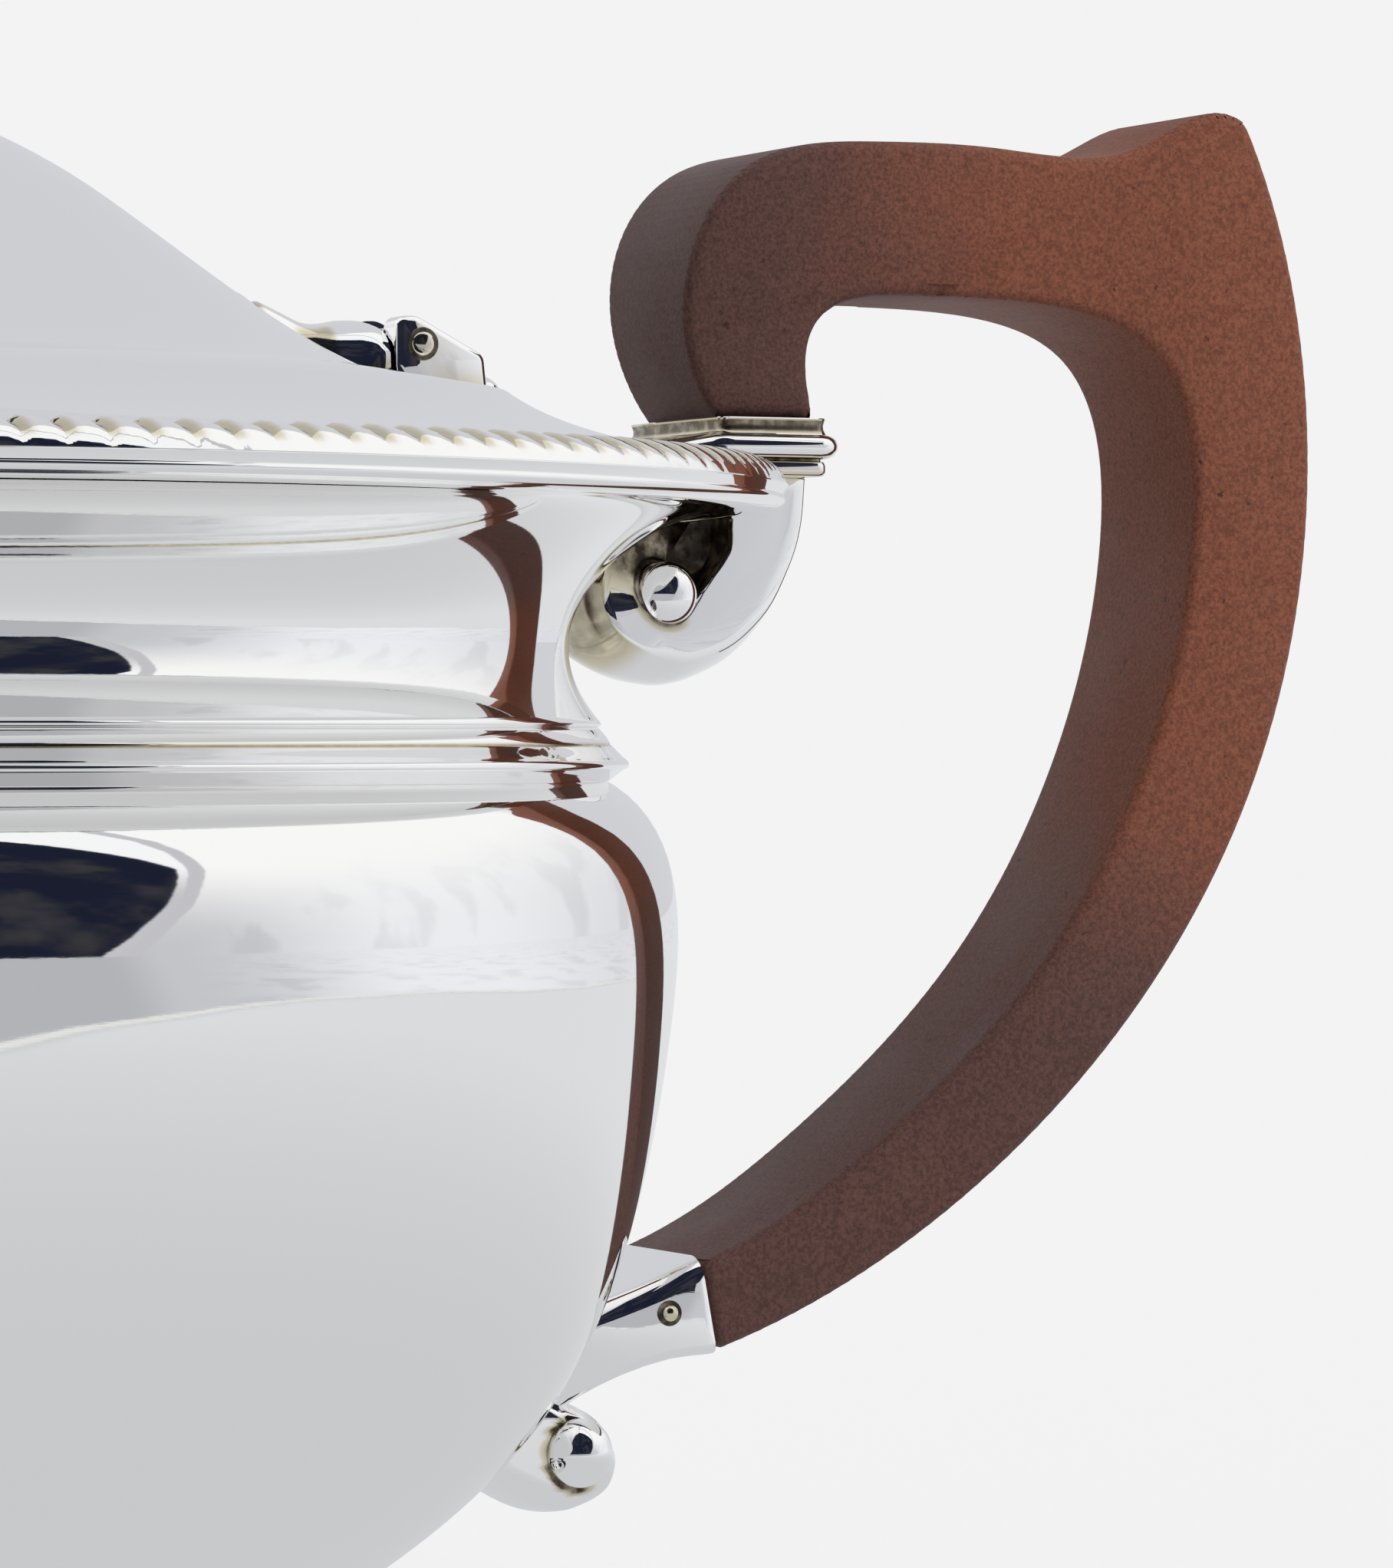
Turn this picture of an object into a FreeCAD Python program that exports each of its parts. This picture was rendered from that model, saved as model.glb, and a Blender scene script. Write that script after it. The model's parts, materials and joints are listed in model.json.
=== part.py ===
import FreeCAD, Part
import os
import Sketcher

# A round silver coffee pot with a wooden handle, a hinged lid and a spout.
# X points at the handle, Z points up, and the foot stands on Z = 0 about the axis of the bowl.

doc = FreeCAD.newDocument("coffee_pot")
sheet = doc.addObject("Spreadsheet::Sheet", "Sizes")

SIZES = {
    # sheet metal and fits
    "wall": 1.0,
    "solder_bite": 0.2,
    "seam_gap": 0.3,
    "running_gap": 0.05,
    "slip_gap": 0.1,
    # heights, stacked from the table up
    "foot_height": 11.0,
    "bowl_height": 72.2,
    "band_height": 3.2,
    "neck_height": 17.0,
    "rim_height": 5.0,
    "shoulder_height": 5.8,
    "lid_height": 23.6,
    "plate_height": 3.6,
    # shares of the bowl's height at the two seams of its courses
    "base_share": 0.35,
    "wall_share": 0.82,
    # radii
    "foot_radius": 46.0,
    "bowl_radius": 72.6,
    "band_radius": 68.8,
    "waist_radius": 64.0,
    "rim_radius": 81.3,
    "shoulder_width": 9.8,
    "shoulder_fall": 0.166,
    "lid_radius": 49.6,
    "seat_step": 3.0,
    "seat_depth": 4.7,
    "strainer_hole": 1.6,
    "strainer_pitch": 5.6,
    "strainer_level": 54.0,
    # finial
    "finial_radius": 8.5,
    "finial_base_height": 3.0,
    "finial_knob_height": 16.0,
    "finial_cap_height": 4.0,
    "stud_radius": 2.0,
    "nut_height": 2.6,
    "washer_height": 0.6,
    "vent_radius": 1.2,
    "vent_offset": 28.0,
    # hinge
    "hinge_out": 5.0,
    "hinge_up": 3.3,
    "hinge_width": 12.0,
    "tongue_width": 5.6,
    "tongue_gap": 0.3,
    "pin_radius": 1.0,
    "barrel_radius": 1.75,
    # handle
    "handle_tuck": 4.0,
    "handle_reach": 58.0,
    "handle_rise": 103.0,
    "handle_thickness": 17.8,
    "handle_round": 1.0,
    "joint_out": 6.9,
    "dowel_radius": 2.0,
    "dowel_length": 12.0,
    "scroll_width": 13.0,
    "eye_radius": 2.1,
    "socket_width": 18.2,
    "tenon_width": 11.0,
    "rivet_radius": 0.75,
    "terminal_width": 12.0,
    "terminal_eye": 2.5,
    # spout
    "spout_root": 15.0,
    "spout_tip": 5.6,
    "spout_reach": 59.15,
    "spout_wall": 1.0,
}

row = 0
for name, number in SIZES.items():
    row += 1
    sheet.set("A%d" % row, name)
    sheet.set("B%d" % row, str(number))
    sheet.setAlias("B%d" % row, name)
doc.recompute()

# levels, each built on the one below
BASE_SEAM = "(Sizes.foot_height + Sizes.bowl_height * Sizes.base_share)"
WALL_SEAM = "(Sizes.foot_height + Sizes.bowl_height * Sizes.wall_share)"
BOWL_TOP = "(Sizes.foot_height + Sizes.bowl_height)"
BAND_TOP = "(%s + Sizes.band_height)" % BOWL_TOP
NECK_TOP = "(%s + Sizes.neck_height)" % BAND_TOP
FLANGE_TOP = "(%s + Sizes.wall)" % NECK_TOP
RIM_TOP = "(%s + Sizes.rim_height)" % NECK_TOP
SEAM = "(%s + Sizes.shoulder_height)" % RIM_TOP
LEDGE = "(%s - Sizes.wall)" % SEAM
LID_TOP = "(%s + Sizes.lid_height)" % SEAM
SEAT = "(%s + Sizes.plate_height)" % RIM_TOP
OPENING = "(Sizes.lid_radius + Sizes.seam_gap)"
SHOULDER_BREAK = "(Sizes.lid_radius + Sizes.shoulder_width)"
PIN_X = "(Sizes.lid_radius + Sizes.hinge_out)"
PIN_Z = "(%s + Sizes.hinge_up)" % SEAM
ROOT_X = "(Sizes.rim_radius - Sizes.handle_tuck)"


def value(text):
    return float(sheet.evalExpression(text))


def spot(point):
    return FreeCAD.Vector(value(point[0]), value(point[1]), 0)


def placed(points, x_base, x_span, z_base, z_span):
    """Turn pairs of fractions into pairs of size texts."""
    made = []
    for across, up in points:
        made.append(("%s + %s * %s" % (x_base, x_span, across), "%s + %s * %s" % (z_base, z_span, up)))
    return made


def shifted(points, x_text, z_text):
    """Move size texts sideways and upwards."""
    return [("%s + %s" % (x, x_text), "%s + %s" % (z, z_text)) for x, z in points]


def new_body(label):
    body = doc.addObject("PartDesign::Body", label)
    body.Label = label
    return body


def new_sketch(body, name, role="XZ_Plane", lift=None):
    sketch = body.newObject("Sketcher::SketchObject", body.Label + "_" + name)
    plane = [f for f in body.Origin.OriginFeatures if f.Role == role][0]
    sketch.AttachmentSupport = [(plane, "")]
    sketch.MapMode = "FlatFace"
    if lift is not None:
        sketch.setExpression("AttachmentOffset.Base.z", lift)
    return sketch


def bind(sketch, kind, index, vertex, text):
    number = sketch.addConstraint(Sketcher.Constraint(kind, -1, 1, index, vertex, value(text)))
    sketch.setExpression("Constraints[%d]" % number, text)


def hold(sketch, index, vertex, point):
    bind(sketch, "DistanceX", index, vertex, point[0])
    bind(sketch, "DistanceY", index, vertex, point[1])


def draw(sketch, start, steps):
    """Closed outline: a step with one point is a line, a longer step is a smooth curve by its poles."""
    here = start
    made = []
    for step in steps:
        if len(step) == 1:
            index = sketch.addGeometry(Part.LineSegment(spot(here), spot(step[0])), False)
            hold(sketch, index, 1, here)
        else:
            poles = [here] + list(step)
            curve = Part.BSplineCurve()
            curve.buildFromPoles([spot(pole) for pole in poles], False, min(3, len(poles) - 1))
            index = sketch.addGeometry(curve, False)
            first = sketch.GeometryCount
            sketch.exposeInternalGeometry(index)
            for count, pole in enumerate(poles[:-1]):
                hold(sketch, first + count, 3, pole)
        made.append(index)
        here = step[-1]
    for one, other in zip(made, made[1:] + made[:1]):
        sketch.addConstraint(Sketcher.Constraint("Coincident", one, 2, other, 1))


def draw_circle(sketch, point, radius):
    circle = Part.Circle(spot(point), FreeCAD.Vector(0, 0, 1), value(radius))
    index = sketch.addGeometry(circle, False)
    for kind, text in (("DistanceX", point[0]), ("DistanceY", point[1])):
        if value(text) == 0:
            other = -2 if kind == "DistanceX" else -1
            sketch.addConstraint(Sketcher.Constraint("PointOnObject", index, 3, other))
        else:
            bind(sketch, kind, index, 3, text)
    number = sketch.addConstraint(Sketcher.Constraint("Radius", index, value(radius)))
    sketch.setExpression("Constraints[%d]" % number, radius)


def turn(body, sketch, kind="PartDesign::Revolution", name="turned"):
    doc.recompute()
    feature = body.newObject(kind, body.Label + "_" + name)
    feature.Profile = sketch
    feature.ReferenceAxis = (sketch, ["V_Axis"])
    feature.Angle = 360
    doc.recompute()
    return feature


def thick(body, sketch, text, name, kind="PartDesign::Pad"):
    """Pad or pocket of a given thickness, half on each side of its sketch."""
    doc.recompute()
    feature = body.newObject(kind, body.Label + "_" + name)
    feature.Profile = sketch
    feature.SideType = "Symmetric"
    feature.Type = "Length"
    feature.setExpression("Length", text)
    doc.recompute()
    return feature


def soften(body, test, text, name):
    """Round the edges of the body's last feature that pass the test."""
    doc.recompute()
    tip = body.Tip
    names = ["Edge%d" % (n + 1) for n, edge in enumerate(tip.Shape.Edges) if test(edge)]
    fillet = body.newObject("PartDesign::Fillet", body.Label + "_" + name)
    fillet.Base = (tip, names)
    fillet.setExpression("Radius", text)
    doc.recompute()
    return fillet


def turned_piece(label, start, steps):
    body = new_body(label)
    sketch = new_sketch(body, "outline")
    draw(sketch, start, steps)
    turn(body, sketch)
    return body


def rod(label, point, radius, length, dome):
    """Round rod along Y with rounded ends."""
    body = new_body(label)
    sketch = new_sketch(body, "round")
    draw_circle(sketch, point, radius)
    thick(body, sketch, length, "rod")
    soften(body, lambda edge: True, dome, "dome")
    return body


def cut_by_turning(body, start, steps, name):
    """Hollow a piece so that it lies on a turned surface."""
    sketch = new_sketch(body, name)
    draw(sketch, start, steps)
    return turn(body, sketch, "PartDesign::Groove", name + "_cut")


# bowl, from the edge of its flat bottom to its mouth
BOWL = [
    (0.413, 0), (0.492, 0.017), (0.747, 0.159), (0.927, 0.367), (1.003, 0.72), (1.012, 0.956), (0.898, 1),
]


def bowl_curve(inset):
    radius = "(Sizes.bowl_radius - %s)" % inset
    height = "(Sizes.bowl_height - %s)" % inset
    return placed(BOWL, "0", radius, "Sizes.foot_height + %s" % inset, height)


outside = bowl_curve("0")
inside = bowl_curve("Sizes.wall")
inside.reverse()


def bowl_course(label, low, high):
    """One course of the bowl, kept above its lower and below its upper seam."""
    course = turned_piece(
        label,
        ("0", "Sizes.foot_height"),
        [
            (outside[0],),
            outside[1:],
            (inside[0],),
            inside[1:],
            (("0", "Sizes.foot_height + Sizes.wall"),),
            (("0", "Sizes.foot_height"),),
        ],
    )
    clear = "Sizes.bowl_radius * 1.1"
    for name, start, stop in (("below", "0", low), ("above", high, BOWL_TOP + " + 5")):
        if start is not None and stop is not None:
            block = [("0", start), (clear, start), (clear, stop), ("0", stop)]
            cut_by_turning(course, block[0], [(point,) for point in block[1:] + block[:1]], name)
    return course


# the bowl is soldered up from a base, a wall and a top, flush at their seams
body_base = bowl_course("body_base", None, BASE_SEAM)
body_shell = bowl_course("body_shell", BASE_SEAM, WALL_SEAM)
body_top = bowl_course("body_top", WALL_SEAM, None)
pierced = new_sketch(body_shell, "pierced", "YZ_Plane")
for across in (-1, 0, 1):
    for up in (-1, 0, 1):
        level = "Sizes.strainer_level + Sizes.strainer_pitch * %d" % up
        draw_circle(pierced, ("Sizes.strainer_pitch * %d" % across, level), "Sizes.strainer_hole")
doc.recompute()
holes = body_shell.newObject("PartDesign::Pocket", "body_shell_strainer")
holes.Profile = pierced
holes.Type = "Length"
holes.setExpression("Length", "Sizes.bowl_radius + 5")
doc.recompute()
if holes.Shape.Solids[0].CenterOfMass.x < 0:
    holes.Reversed = True
    doc.recompute()

foot = "Sizes.foot_radius"
rise = "Sizes.foot_height"
foot_ring = turned_piece(
    "foot_ring",
    (foot + " * 0.52", rise),
    [
        (("Sizes.bowl_radius * 0.413", rise),),
        (
            (foot + " * 0.64", rise + " * 0.5"),
            (foot + " * 0.86", rise + " * 0.62"),
            (foot, rise + " * 0.3"),
        ),
        ((foot, "0"),),
        ((foot + " * 0.9", "0"),),
        (
            (foot + " * 0.78", rise + " * 0.3"),
            (foot + " * 0.56", rise + " * 0.3"),
            (foot + " * 0.52", rise),
        ),
    ],
)

mouth = "Sizes.waist_radius - Sizes.wall"
band = "Sizes.band_radius"
neck_foot = "Sizes.band_radius - 2.2"
neck_band = turned_piece(
    "neck_band",
    (mouth, BOWL_TOP),
    [
        ((band + " - 0.5", BOWL_TOP),),
        (
            (band + " + 0.2", BOWL_TOP + " + 0.05"),
            (band, BOWL_TOP + " + 0.7"),
            (band + " - 1.6", BOWL_TOP + " + 1.6"),
            (neck_foot, BAND_TOP),
        ),
        ((mouth, BAND_TOP),),
        ((mouth, BOWL_TOP),),
    ],
)

flange = "(Sizes.rim_radius - 3.7)"
rim_inside = "(Sizes.rim_radius - 8.3)"
waist = "Sizes.waist_radius"
NECK = [
    (neck_foot, BAND_TOP + " + 0.4"),
    (waist + " - 0.9", BAND_TOP + " + Sizes.neck_height * 0.26"),
    (waist + " - 0.3", BAND_TOP + " + Sizes.neck_height * 0.72"),
    (flange + " - 3.5", NECK_TOP + " + 0.6"),
    (flange, NECK_TOP),
]
neck_collar = turned_piece(
    "neck_collar",
    (mouth, BAND_TOP),
    [
        ((neck_foot, BAND_TOP),),
        (NECK[0],),
        NECK[1:],
        ((flange, FLANGE_TOP),),
        ((rim_inside, FLANGE_TOP),),
        (
            (rim_inside + " - 7", FLANGE_TOP + " - 0.9"),
            (waist + " - 1.6", FLANGE_TOP + " - 6"),
            (waist + " - 2", BAND_TOP + " + 4.6"),
            (mouth, BAND_TOP),
        ),
    ],
)

rim = "Sizes.rim_radius"
shoulder_edge = "(Sizes.rim_radius - 6.3)"
RIM_CURVE = [
    (rim + " - 1.4", NECK_TOP + " - 0.2"),
    (rim + " + 0.3", NECK_TOP),
    (rim + " + 0.2", NECK_TOP + " + Sizes.rim_height * 0.5"),
    (rim + " - 1", NECK_TOP + " + Sizes.rim_height * 0.82"),
    (shoulder_edge, RIM_TOP),
]
gadroon_rim = turned_piece(
    "gadroon_rim",
    (rim_inside, FLANGE_TOP),
    [
        ((flange, FLANGE_TOP),),
        ((flange, NECK_TOP + " - 0.1"),),
        (RIM_CURVE[0],),
        RIM_CURVE[1:],
        ((shoulder_edge, RIM_TOP + " - Sizes.wall"),),
        ((rim_inside, RIM_TOP + " - Sizes.wall"),),
        ((rim_inside, FLANGE_TOP),),
    ],
)

break_level = "(%s - Sizes.shoulder_fall * (%s - %s))" % (SEAM, SHOULDER_BREAK, OPENING)
SHOULDER = [
    (shoulder_edge, RIM_TOP),
    (shoulder_edge + " - 5", RIM_TOP + " + 0.5"),
    (SHOULDER_BREAK + " + 4", RIM_TOP + " + 0.6"),
    (SHOULDER_BREAK, break_level),
]
under = "-1 * Sizes.wall"
below = shifted(SHOULDER, "0", under)
below.reverse()
shoulder_plate = turned_piece(
    "shoulder_plate",
    SHOULDER[0],
    [
        SHOULDER[1:],
        ((OPENING, SEAM),),
        ((OPENING, LEDGE),),
        (below[0],),
        (below[1], below[2], (rim_inside, RIM_TOP + " - Sizes.wall")),
        ((shoulder_edge, RIM_TOP + " - Sizes.wall"),),
        (SHOULDER[0],),
    ],
)

seat_in = "(Sizes.lid_radius - Sizes.seat_step + 0.3)"
seat_out = "(%s + Sizes.seat_step)" % OPENING
seat_rise = "(%s - Sizes.shoulder_fall * Sizes.seat_step)" % LEDGE
lid_seat = turned_piece(
    "lid_seat",
    (OPENING, LEDGE),
    [
        ((seat_out, seat_rise),),
        ((seat_out, seat_rise + " - Sizes.wall"),),
        ((seat_in + " + Sizes.wall", seat_rise + " - Sizes.wall"),),
        ((seat_in + " + Sizes.wall", LEDGE + " - Sizes.seat_depth"),),
        ((seat_in, LEDGE + " - Sizes.seat_depth"),),
        ((seat_in, LEDGE),),
        ((OPENING, LEDGE),),
    ],
)

# lid, from its edge to the flat under the finial
LID = [(1, 0), (0.704, 0.352), (0.433, 0.805), (0.121, 1)]
lid_outside = placed(LID, "0", "Sizes.lid_radius", SEAM, "Sizes.lid_height")
lid_inside = placed(LID, "0", "(Sizes.lid_radius - 1.7 * Sizes.wall)", LEDGE, "Sizes.lid_height")
lid_inside.reverse()
stud_hole = "Sizes.stud_radius + Sizes.slip_gap"
lid_dome = turned_piece(
    "lid_dome",
    ("Sizes.lid_radius", LEDGE),
    [
        (lid_outside[0],),
        lid_outside[1:],
        ((stud_hole, LID_TOP),),
        ((stud_hole, LID_TOP + " - Sizes.wall"),),
        (lid_inside[0],),
        lid_inside[1:],
        (("Sizes.lid_radius", LEDGE),),
    ],
)
vent = new_sketch(lid_dome, "vent", "XY_Plane", LID_TOP)
draw_circle(vent, ("-1 * Sizes.vent_offset", "0"), "Sizes.vent_radius")
thick(lid_dome, vent, "Sizes.lid_height * 2.2", "vent_hole", "PartDesign::Pocket")

bezel_out = "(%s - 0.5)" % seat_in
bezel_in = "(%s - Sizes.wall)" % bezel_out
lid_edge = "(Sizes.lid_radius - 1.7 * Sizes.wall)"
lid_slope = "(0.352 * Sizes.lid_height / (0.296 * %s))" % lid_edge


def under_lid(across):
    """Level just inside the lid's sheet at a radius near its edge."""
    return "%s + %s * (%s - %s) + 0.08" % (LEDGE, lid_slope, lid_edge, across)


lid_bezel = turned_piece(
    "lid_bezel",
    (bezel_in, LEDGE + " - 3.6"),
    [
        ((bezel_out, LEDGE + " - 3.6"),),
        ((bezel_out, under_lid(bezel_out)),),
        ((bezel_in, under_lid(bezel_in)),),
        ((bezel_in, LEDGE + " - 3.6"),),
    ],
)

# finial, clamped to the lid by a stud and a nut
round_knob = "Sizes.finial_radius"
base_top = "(%s + Sizes.finial_base_height)" % LID_TOP
knob_top = "(%s + Sizes.finial_knob_height)" % base_top
cap_top = "(%s + Sizes.finial_cap_height)" % knob_top
finial_base = turned_piece(
    "finial_base",
    (stud_hole, LID_TOP),
    [
        ((round_knob + " * 0.68", LID_TOP),),
        (
            (round_knob + " * 0.8", LID_TOP + " + 0.2"),
            (round_knob + " * 0.8", LID_TOP + " + 1.4"),
            (round_knob + " * 0.5", base_top + " - 1.2"),
            (round_knob + " * 0.55", base_top),
        ),
        ((stud_hole, base_top),),
        ((stud_hole, LID_TOP),),
    ],
)
finial_knob = turned_piece(
    "finial_knob",
    (stud_hole, base_top),
    [
        ((round_knob + " * 0.5", base_top),),
        (
            (round_knob + " * 0.55", base_top + " + Sizes.finial_knob_height * 0.25"),
            (round_knob + " * 1.25", base_top + " + Sizes.finial_knob_height * 0.35"),
            (round_knob + " * 1.2", base_top + " + Sizes.finial_knob_height * 0.8"),
            (round_knob + " * 0.5", knob_top),
        ),
        ((stud_hole, knob_top),),
        ((stud_hole, base_top),),
    ],
)
cap_hole = "Sizes.stud_radius + Sizes.running_gap"
finial_cap = turned_piece(
    "finial_cap",
    (cap_hole, knob_top),
    [
        ((round_knob + " * 0.46", knob_top),),
        (
            (round_knob + " * 0.55", knob_top + " + Sizes.finial_cap_height * 0.35"),
            (round_knob + " * 0.3", cap_top),
            ("0", cap_top),
        ),
        (("0", knob_top + " + Sizes.finial_cap_height * 0.5"),),
        ((cap_hole, knob_top + " + Sizes.finial_cap_height * 0.5"),),
        ((cap_hole, knob_top),),
    ],
)
washer_low = "(%s - Sizes.wall - Sizes.washer_height)" % LID_TOP
nut_low = "(%s - Sizes.nut_height)" % washer_low
finial_stud = turned_piece(
    "finial_stud",
    ("0", nut_low + " - 1"),
    [
        (("Sizes.stud_radius", nut_low + " - 1"),),
        (("Sizes.stud_radius", knob_top + " + Sizes.finial_cap_height * 0.5"),),
        (("0", knob_top + " + Sizes.finial_cap_height * 0.5"),),
        (("0", nut_low + " - 1"),),
    ],
)
finial_washer = turned_piece(
    "finial_washer",
    (stud_hole, washer_low),
    [
        (("Sizes.stud_radius * 2.4", washer_low),),
        (("Sizes.stud_radius * 2.4", washer_low + " + Sizes.washer_height"),),
        ((stud_hole, washer_low + " + Sizes.washer_height"),),
        ((stud_hole, washer_low),),
    ],
)
finial_nut = new_body("finial_nut")
nut_plan = new_sketch(finial_nut, "hexagon", "XY_Plane", nut_low + " + Sizes.nut_height / 2")
corner = "Sizes.stud_radius * 2"
CORNERS = [(1, 0), (0.5, 0.866), (-0.5, 0.866), (-1, 0), (-0.5, -0.866), (0.5, -0.866)]
HEXAGON = [("%s * %s" % (corner, x), "%s * %s" % (corner, y)) for x, y in CORNERS]
draw(nut_plan, HEXAGON[0], [(point,) for point in HEXAGON[1:] + HEXAGON[:1]])
draw_circle(nut_plan, ("0", "0"), cap_hole)
thick(finial_nut, nut_plan, "Sizes.nut_height", "nut")


def from_pin(across, up):
    return ("%s + %s" % (PIN_X, across), "%s + %s" % (PIN_Z, up))


# hinge: a lug on the shoulder carries the pin, and a tongue of the lid's leaf turns on it
hinge_lug = new_body("hinge_lug")
lug_side = new_sketch(hinge_lug, "side")
draw(
    lug_side,
    from_pin(-1.2, -4.1),
    [
        (from_pin(-2.3, -1.5), from_pin(-2.0, 2.1), from_pin(0.9, 2.1), from_pin(2.4, 0.6)),
        (from_pin(4.6, -0.4),),
        (from_pin(5.9, -1.0), from_pin(5.4, -2.4), from_pin(6.0, -3.1)),
        (from_pin(7.8, -3.5),),
        (("%s + 8" % PIN_X, RIM_TOP + " + 1.8"),),
        ((SHOULDER_BREAK, break_level + " - Sizes.solder_bite"),),
        (from_pin(-1.2, -4.1),),
    ],
)
thick(hinge_lug, lug_side, "Sizes.hinge_width", "lug")
slot = new_sketch(hinge_lug, "slot")
SLOT = [from_pin(-4, -2.6), from_pin(2.6, -2.6), from_pin(2.6, 4), from_pin(-4, 4)]
draw(slot, SLOT[0], [(point,) for point in SLOT[1:] + SLOT[:1]])
thick(hinge_lug, slot, "Sizes.tongue_width + 2 * Sizes.tongue_gap", "slot_cut", "PartDesign::Pocket")
bore = new_sketch(hinge_lug, "bore")
draw_circle(bore, (PIN_X, PIN_Z), "Sizes.pin_radius")
thick(hinge_lug, bore, "Sizes.hinge_width * 2", "bore_cut", "PartDesign::Pocket")

hinge_pin = rod(
    "hinge_pin", (PIN_X, PIN_Z), "Sizes.pin_radius", "Sizes.hinge_width + 0.6", "Sizes.pin_radius * 0.4"
)

lid_leaf = new_body("lid_leaf")
leaf_side = new_sketch(lid_leaf, "side")
draw(
    leaf_side,
    from_pin(-17.2, 3.0),
    [
        (from_pin(-16.2, 4.7),),
        (from_pin(-13, 3.6), from_pin(-9.5, 1.6), from_pin(-5.5, 2.1), from_pin(-2.4, 1.7)),
        (from_pin(-2.6, -1.8),),
        (from_pin(-6, -2.2),),
        (from_pin(-8, -3),),
        (from_pin(-17.2, 3.0),),
    ],
)
thick(lid_leaf, leaf_side, "Sizes.hinge_width - 1", "leaf")
bite = "-1 * Sizes.solder_bite"
lid_low = shifted(lid_outside, "0", bite)
cut_by_turning(
    lid_leaf,
    ("0", LEDGE),
    [
        (("Sizes.lid_radius", LEDGE),),
        (lid_low[0],),
        lid_low[1:],
        (("0", LID_TOP + " - Sizes.solder_bite"),),
        (("0", LEDGE),),
    ],
    "lid_face",
)
tongue = new_sketch(lid_leaf, "tongue")
LINK = [from_pin(-3.6, -1.2), from_pin(0, -1.2), from_pin(0, 1.2), from_pin(-3.6, 1.2)]
draw(tongue, LINK[0], [(point,) for point in LINK[1:] + LINK[:1]])
thick(lid_leaf, tongue, "Sizes.tongue_width", "link")
barrel = new_sketch(lid_leaf, "barrel")
draw_circle(barrel, (PIN_X, PIN_Z), "Sizes.barrel_radius")
thick(lid_leaf, barrel, "Sizes.tongue_width", "knuckle")
eye = new_sketch(lid_leaf, "eye")
draw_circle(eye, (PIN_X, PIN_Z), "Sizes.pin_radius + Sizes.running_gap")
thick(lid_leaf, eye, "Sizes.hinge_width * 2", "eye_cut", "PartDesign::Pocket")

# handle: a flat slab of wood that hangs from the seat of the upper plate
JOINT_X = "(Sizes.bowl_radius + Sizes.joint_out)"
JOINT_Z = "(%s - Sizes.handle_rise * 0.744)" % SEAT


def from_joint(across, up):
    return ("%s + %s" % (JOINT_X, across), "%s + %s" % (JOINT_Z, up))


def on_handle(points):
    return placed(points, ROOT_X, "Sizes.handle_reach", SEAT, "Sizes.handle_rise")


def flat_edge(edge):
    """True for a curved edge that lies in one of the two flat faces."""
    box = edge.BoundBox
    return box.YLength < 0.01 and edge.Curve.TypeId != "Part::GeomLine"


NOSE = on_handle([
    (0.053, 0), (0.012, 0.029), (-0.031, 0.107), (0.075, 0.221), (0.308, 0.225),
    (0.492, 0.226), (0.72, 0.206), (0.837, 0.274), (0.896, 0.252),
])
BACK = on_handle([(1.0, 0.132), (1.055, -0.17), (0.706, -0.538)]) + [from_joint(13.1, 4.2)]
GRIP = [from_joint(4.9, 9.5)] + on_handle([
    (0.304, -0.582), (0.561, -0.454), (0.731, -0.292), (0.824, -0.11),
    (0.807, 0.099), (0.369, 0.101), (0.159, 0.103), (0.203, 0.011),
])
SEAT_END = on_handle([(0.203, 0)])[0]
TENON = [from_joint(1.5, 5.9), from_joint(-6.9, 3.8), from_joint(-6.4, 0.9), from_joint(1.8, 2.1)]
RIVET = from_joint(-4.4, 3.3)
DOWEL_X = "(%s + Sizes.handle_reach * 0.128)" % ROOT_X

handle = new_body("handle")
slab = new_sketch(handle, "slab")
draw(
    slab,
    NOSE[0],
    [
        NOSE[1:],
        BACK + [from_joint(0, 0)],
        (from_joint(-1.314, 7.3),),
        GRIP,
        (SEAT_END,),
        (NOSE[0],),
    ],
)
thick(handle, slab, "Sizes.handle_thickness", "wood")
soften(handle, flat_edge, "Sizes.handle_round", "edges")
tenon = new_sketch(handle, "tenon")
draw(tenon, TENON[0], [(point,) for point in TENON[1:] + TENON[:1]])
thick(handle, tenon, "Sizes.tenon_width", "tenon_pad")
dowel_hole = new_sketch(handle, "dowel_hole", "XY_Plane", SEAT)
draw_circle(dowel_hole, (DOWEL_X, "0"), "Sizes.dowel_radius")
thick(handle, dowel_hole, "2 * Sizes.dowel_length", "dowel_cut", "PartDesign::Pocket")
handle_rivet = new_sketch(handle, "rivet_hole")
draw_circle(handle_rivet, RIVET, "Sizes.rivet_radius")
thick(handle, handle_rivet, "Sizes.socket_width * 2", "rivet_cut", "PartDesign::Pocket")

# upper plate: three steps between the rim and the wood
half = "(Sizes.handle_thickness / 2)"
seat_start = NOSE[0][0]
seat_stop = SEAT_END[0]
step_low = "(%s - 1.1)" % RIM_TOP
bead_top = "(%s + 1.9)" % RIM_TOP


def box_plan(x_low, x_high, y_half):
    low = "-1 * " + y_half
    return [(x_low, low), (x_high, low), (x_high, y_half), (x_low, y_half)]


def layer(body, name, plan, low, high):
    sketch = new_sketch(body, name, "XY_Plane", "(%s + %s) / 2" % (low, high))
    draw(sketch, plan[0], [(point,) for point in plan[1:] + plan[:1]])
    return thick(body, sketch, "%s - %s" % (high, low), name + "_pad")


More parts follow.
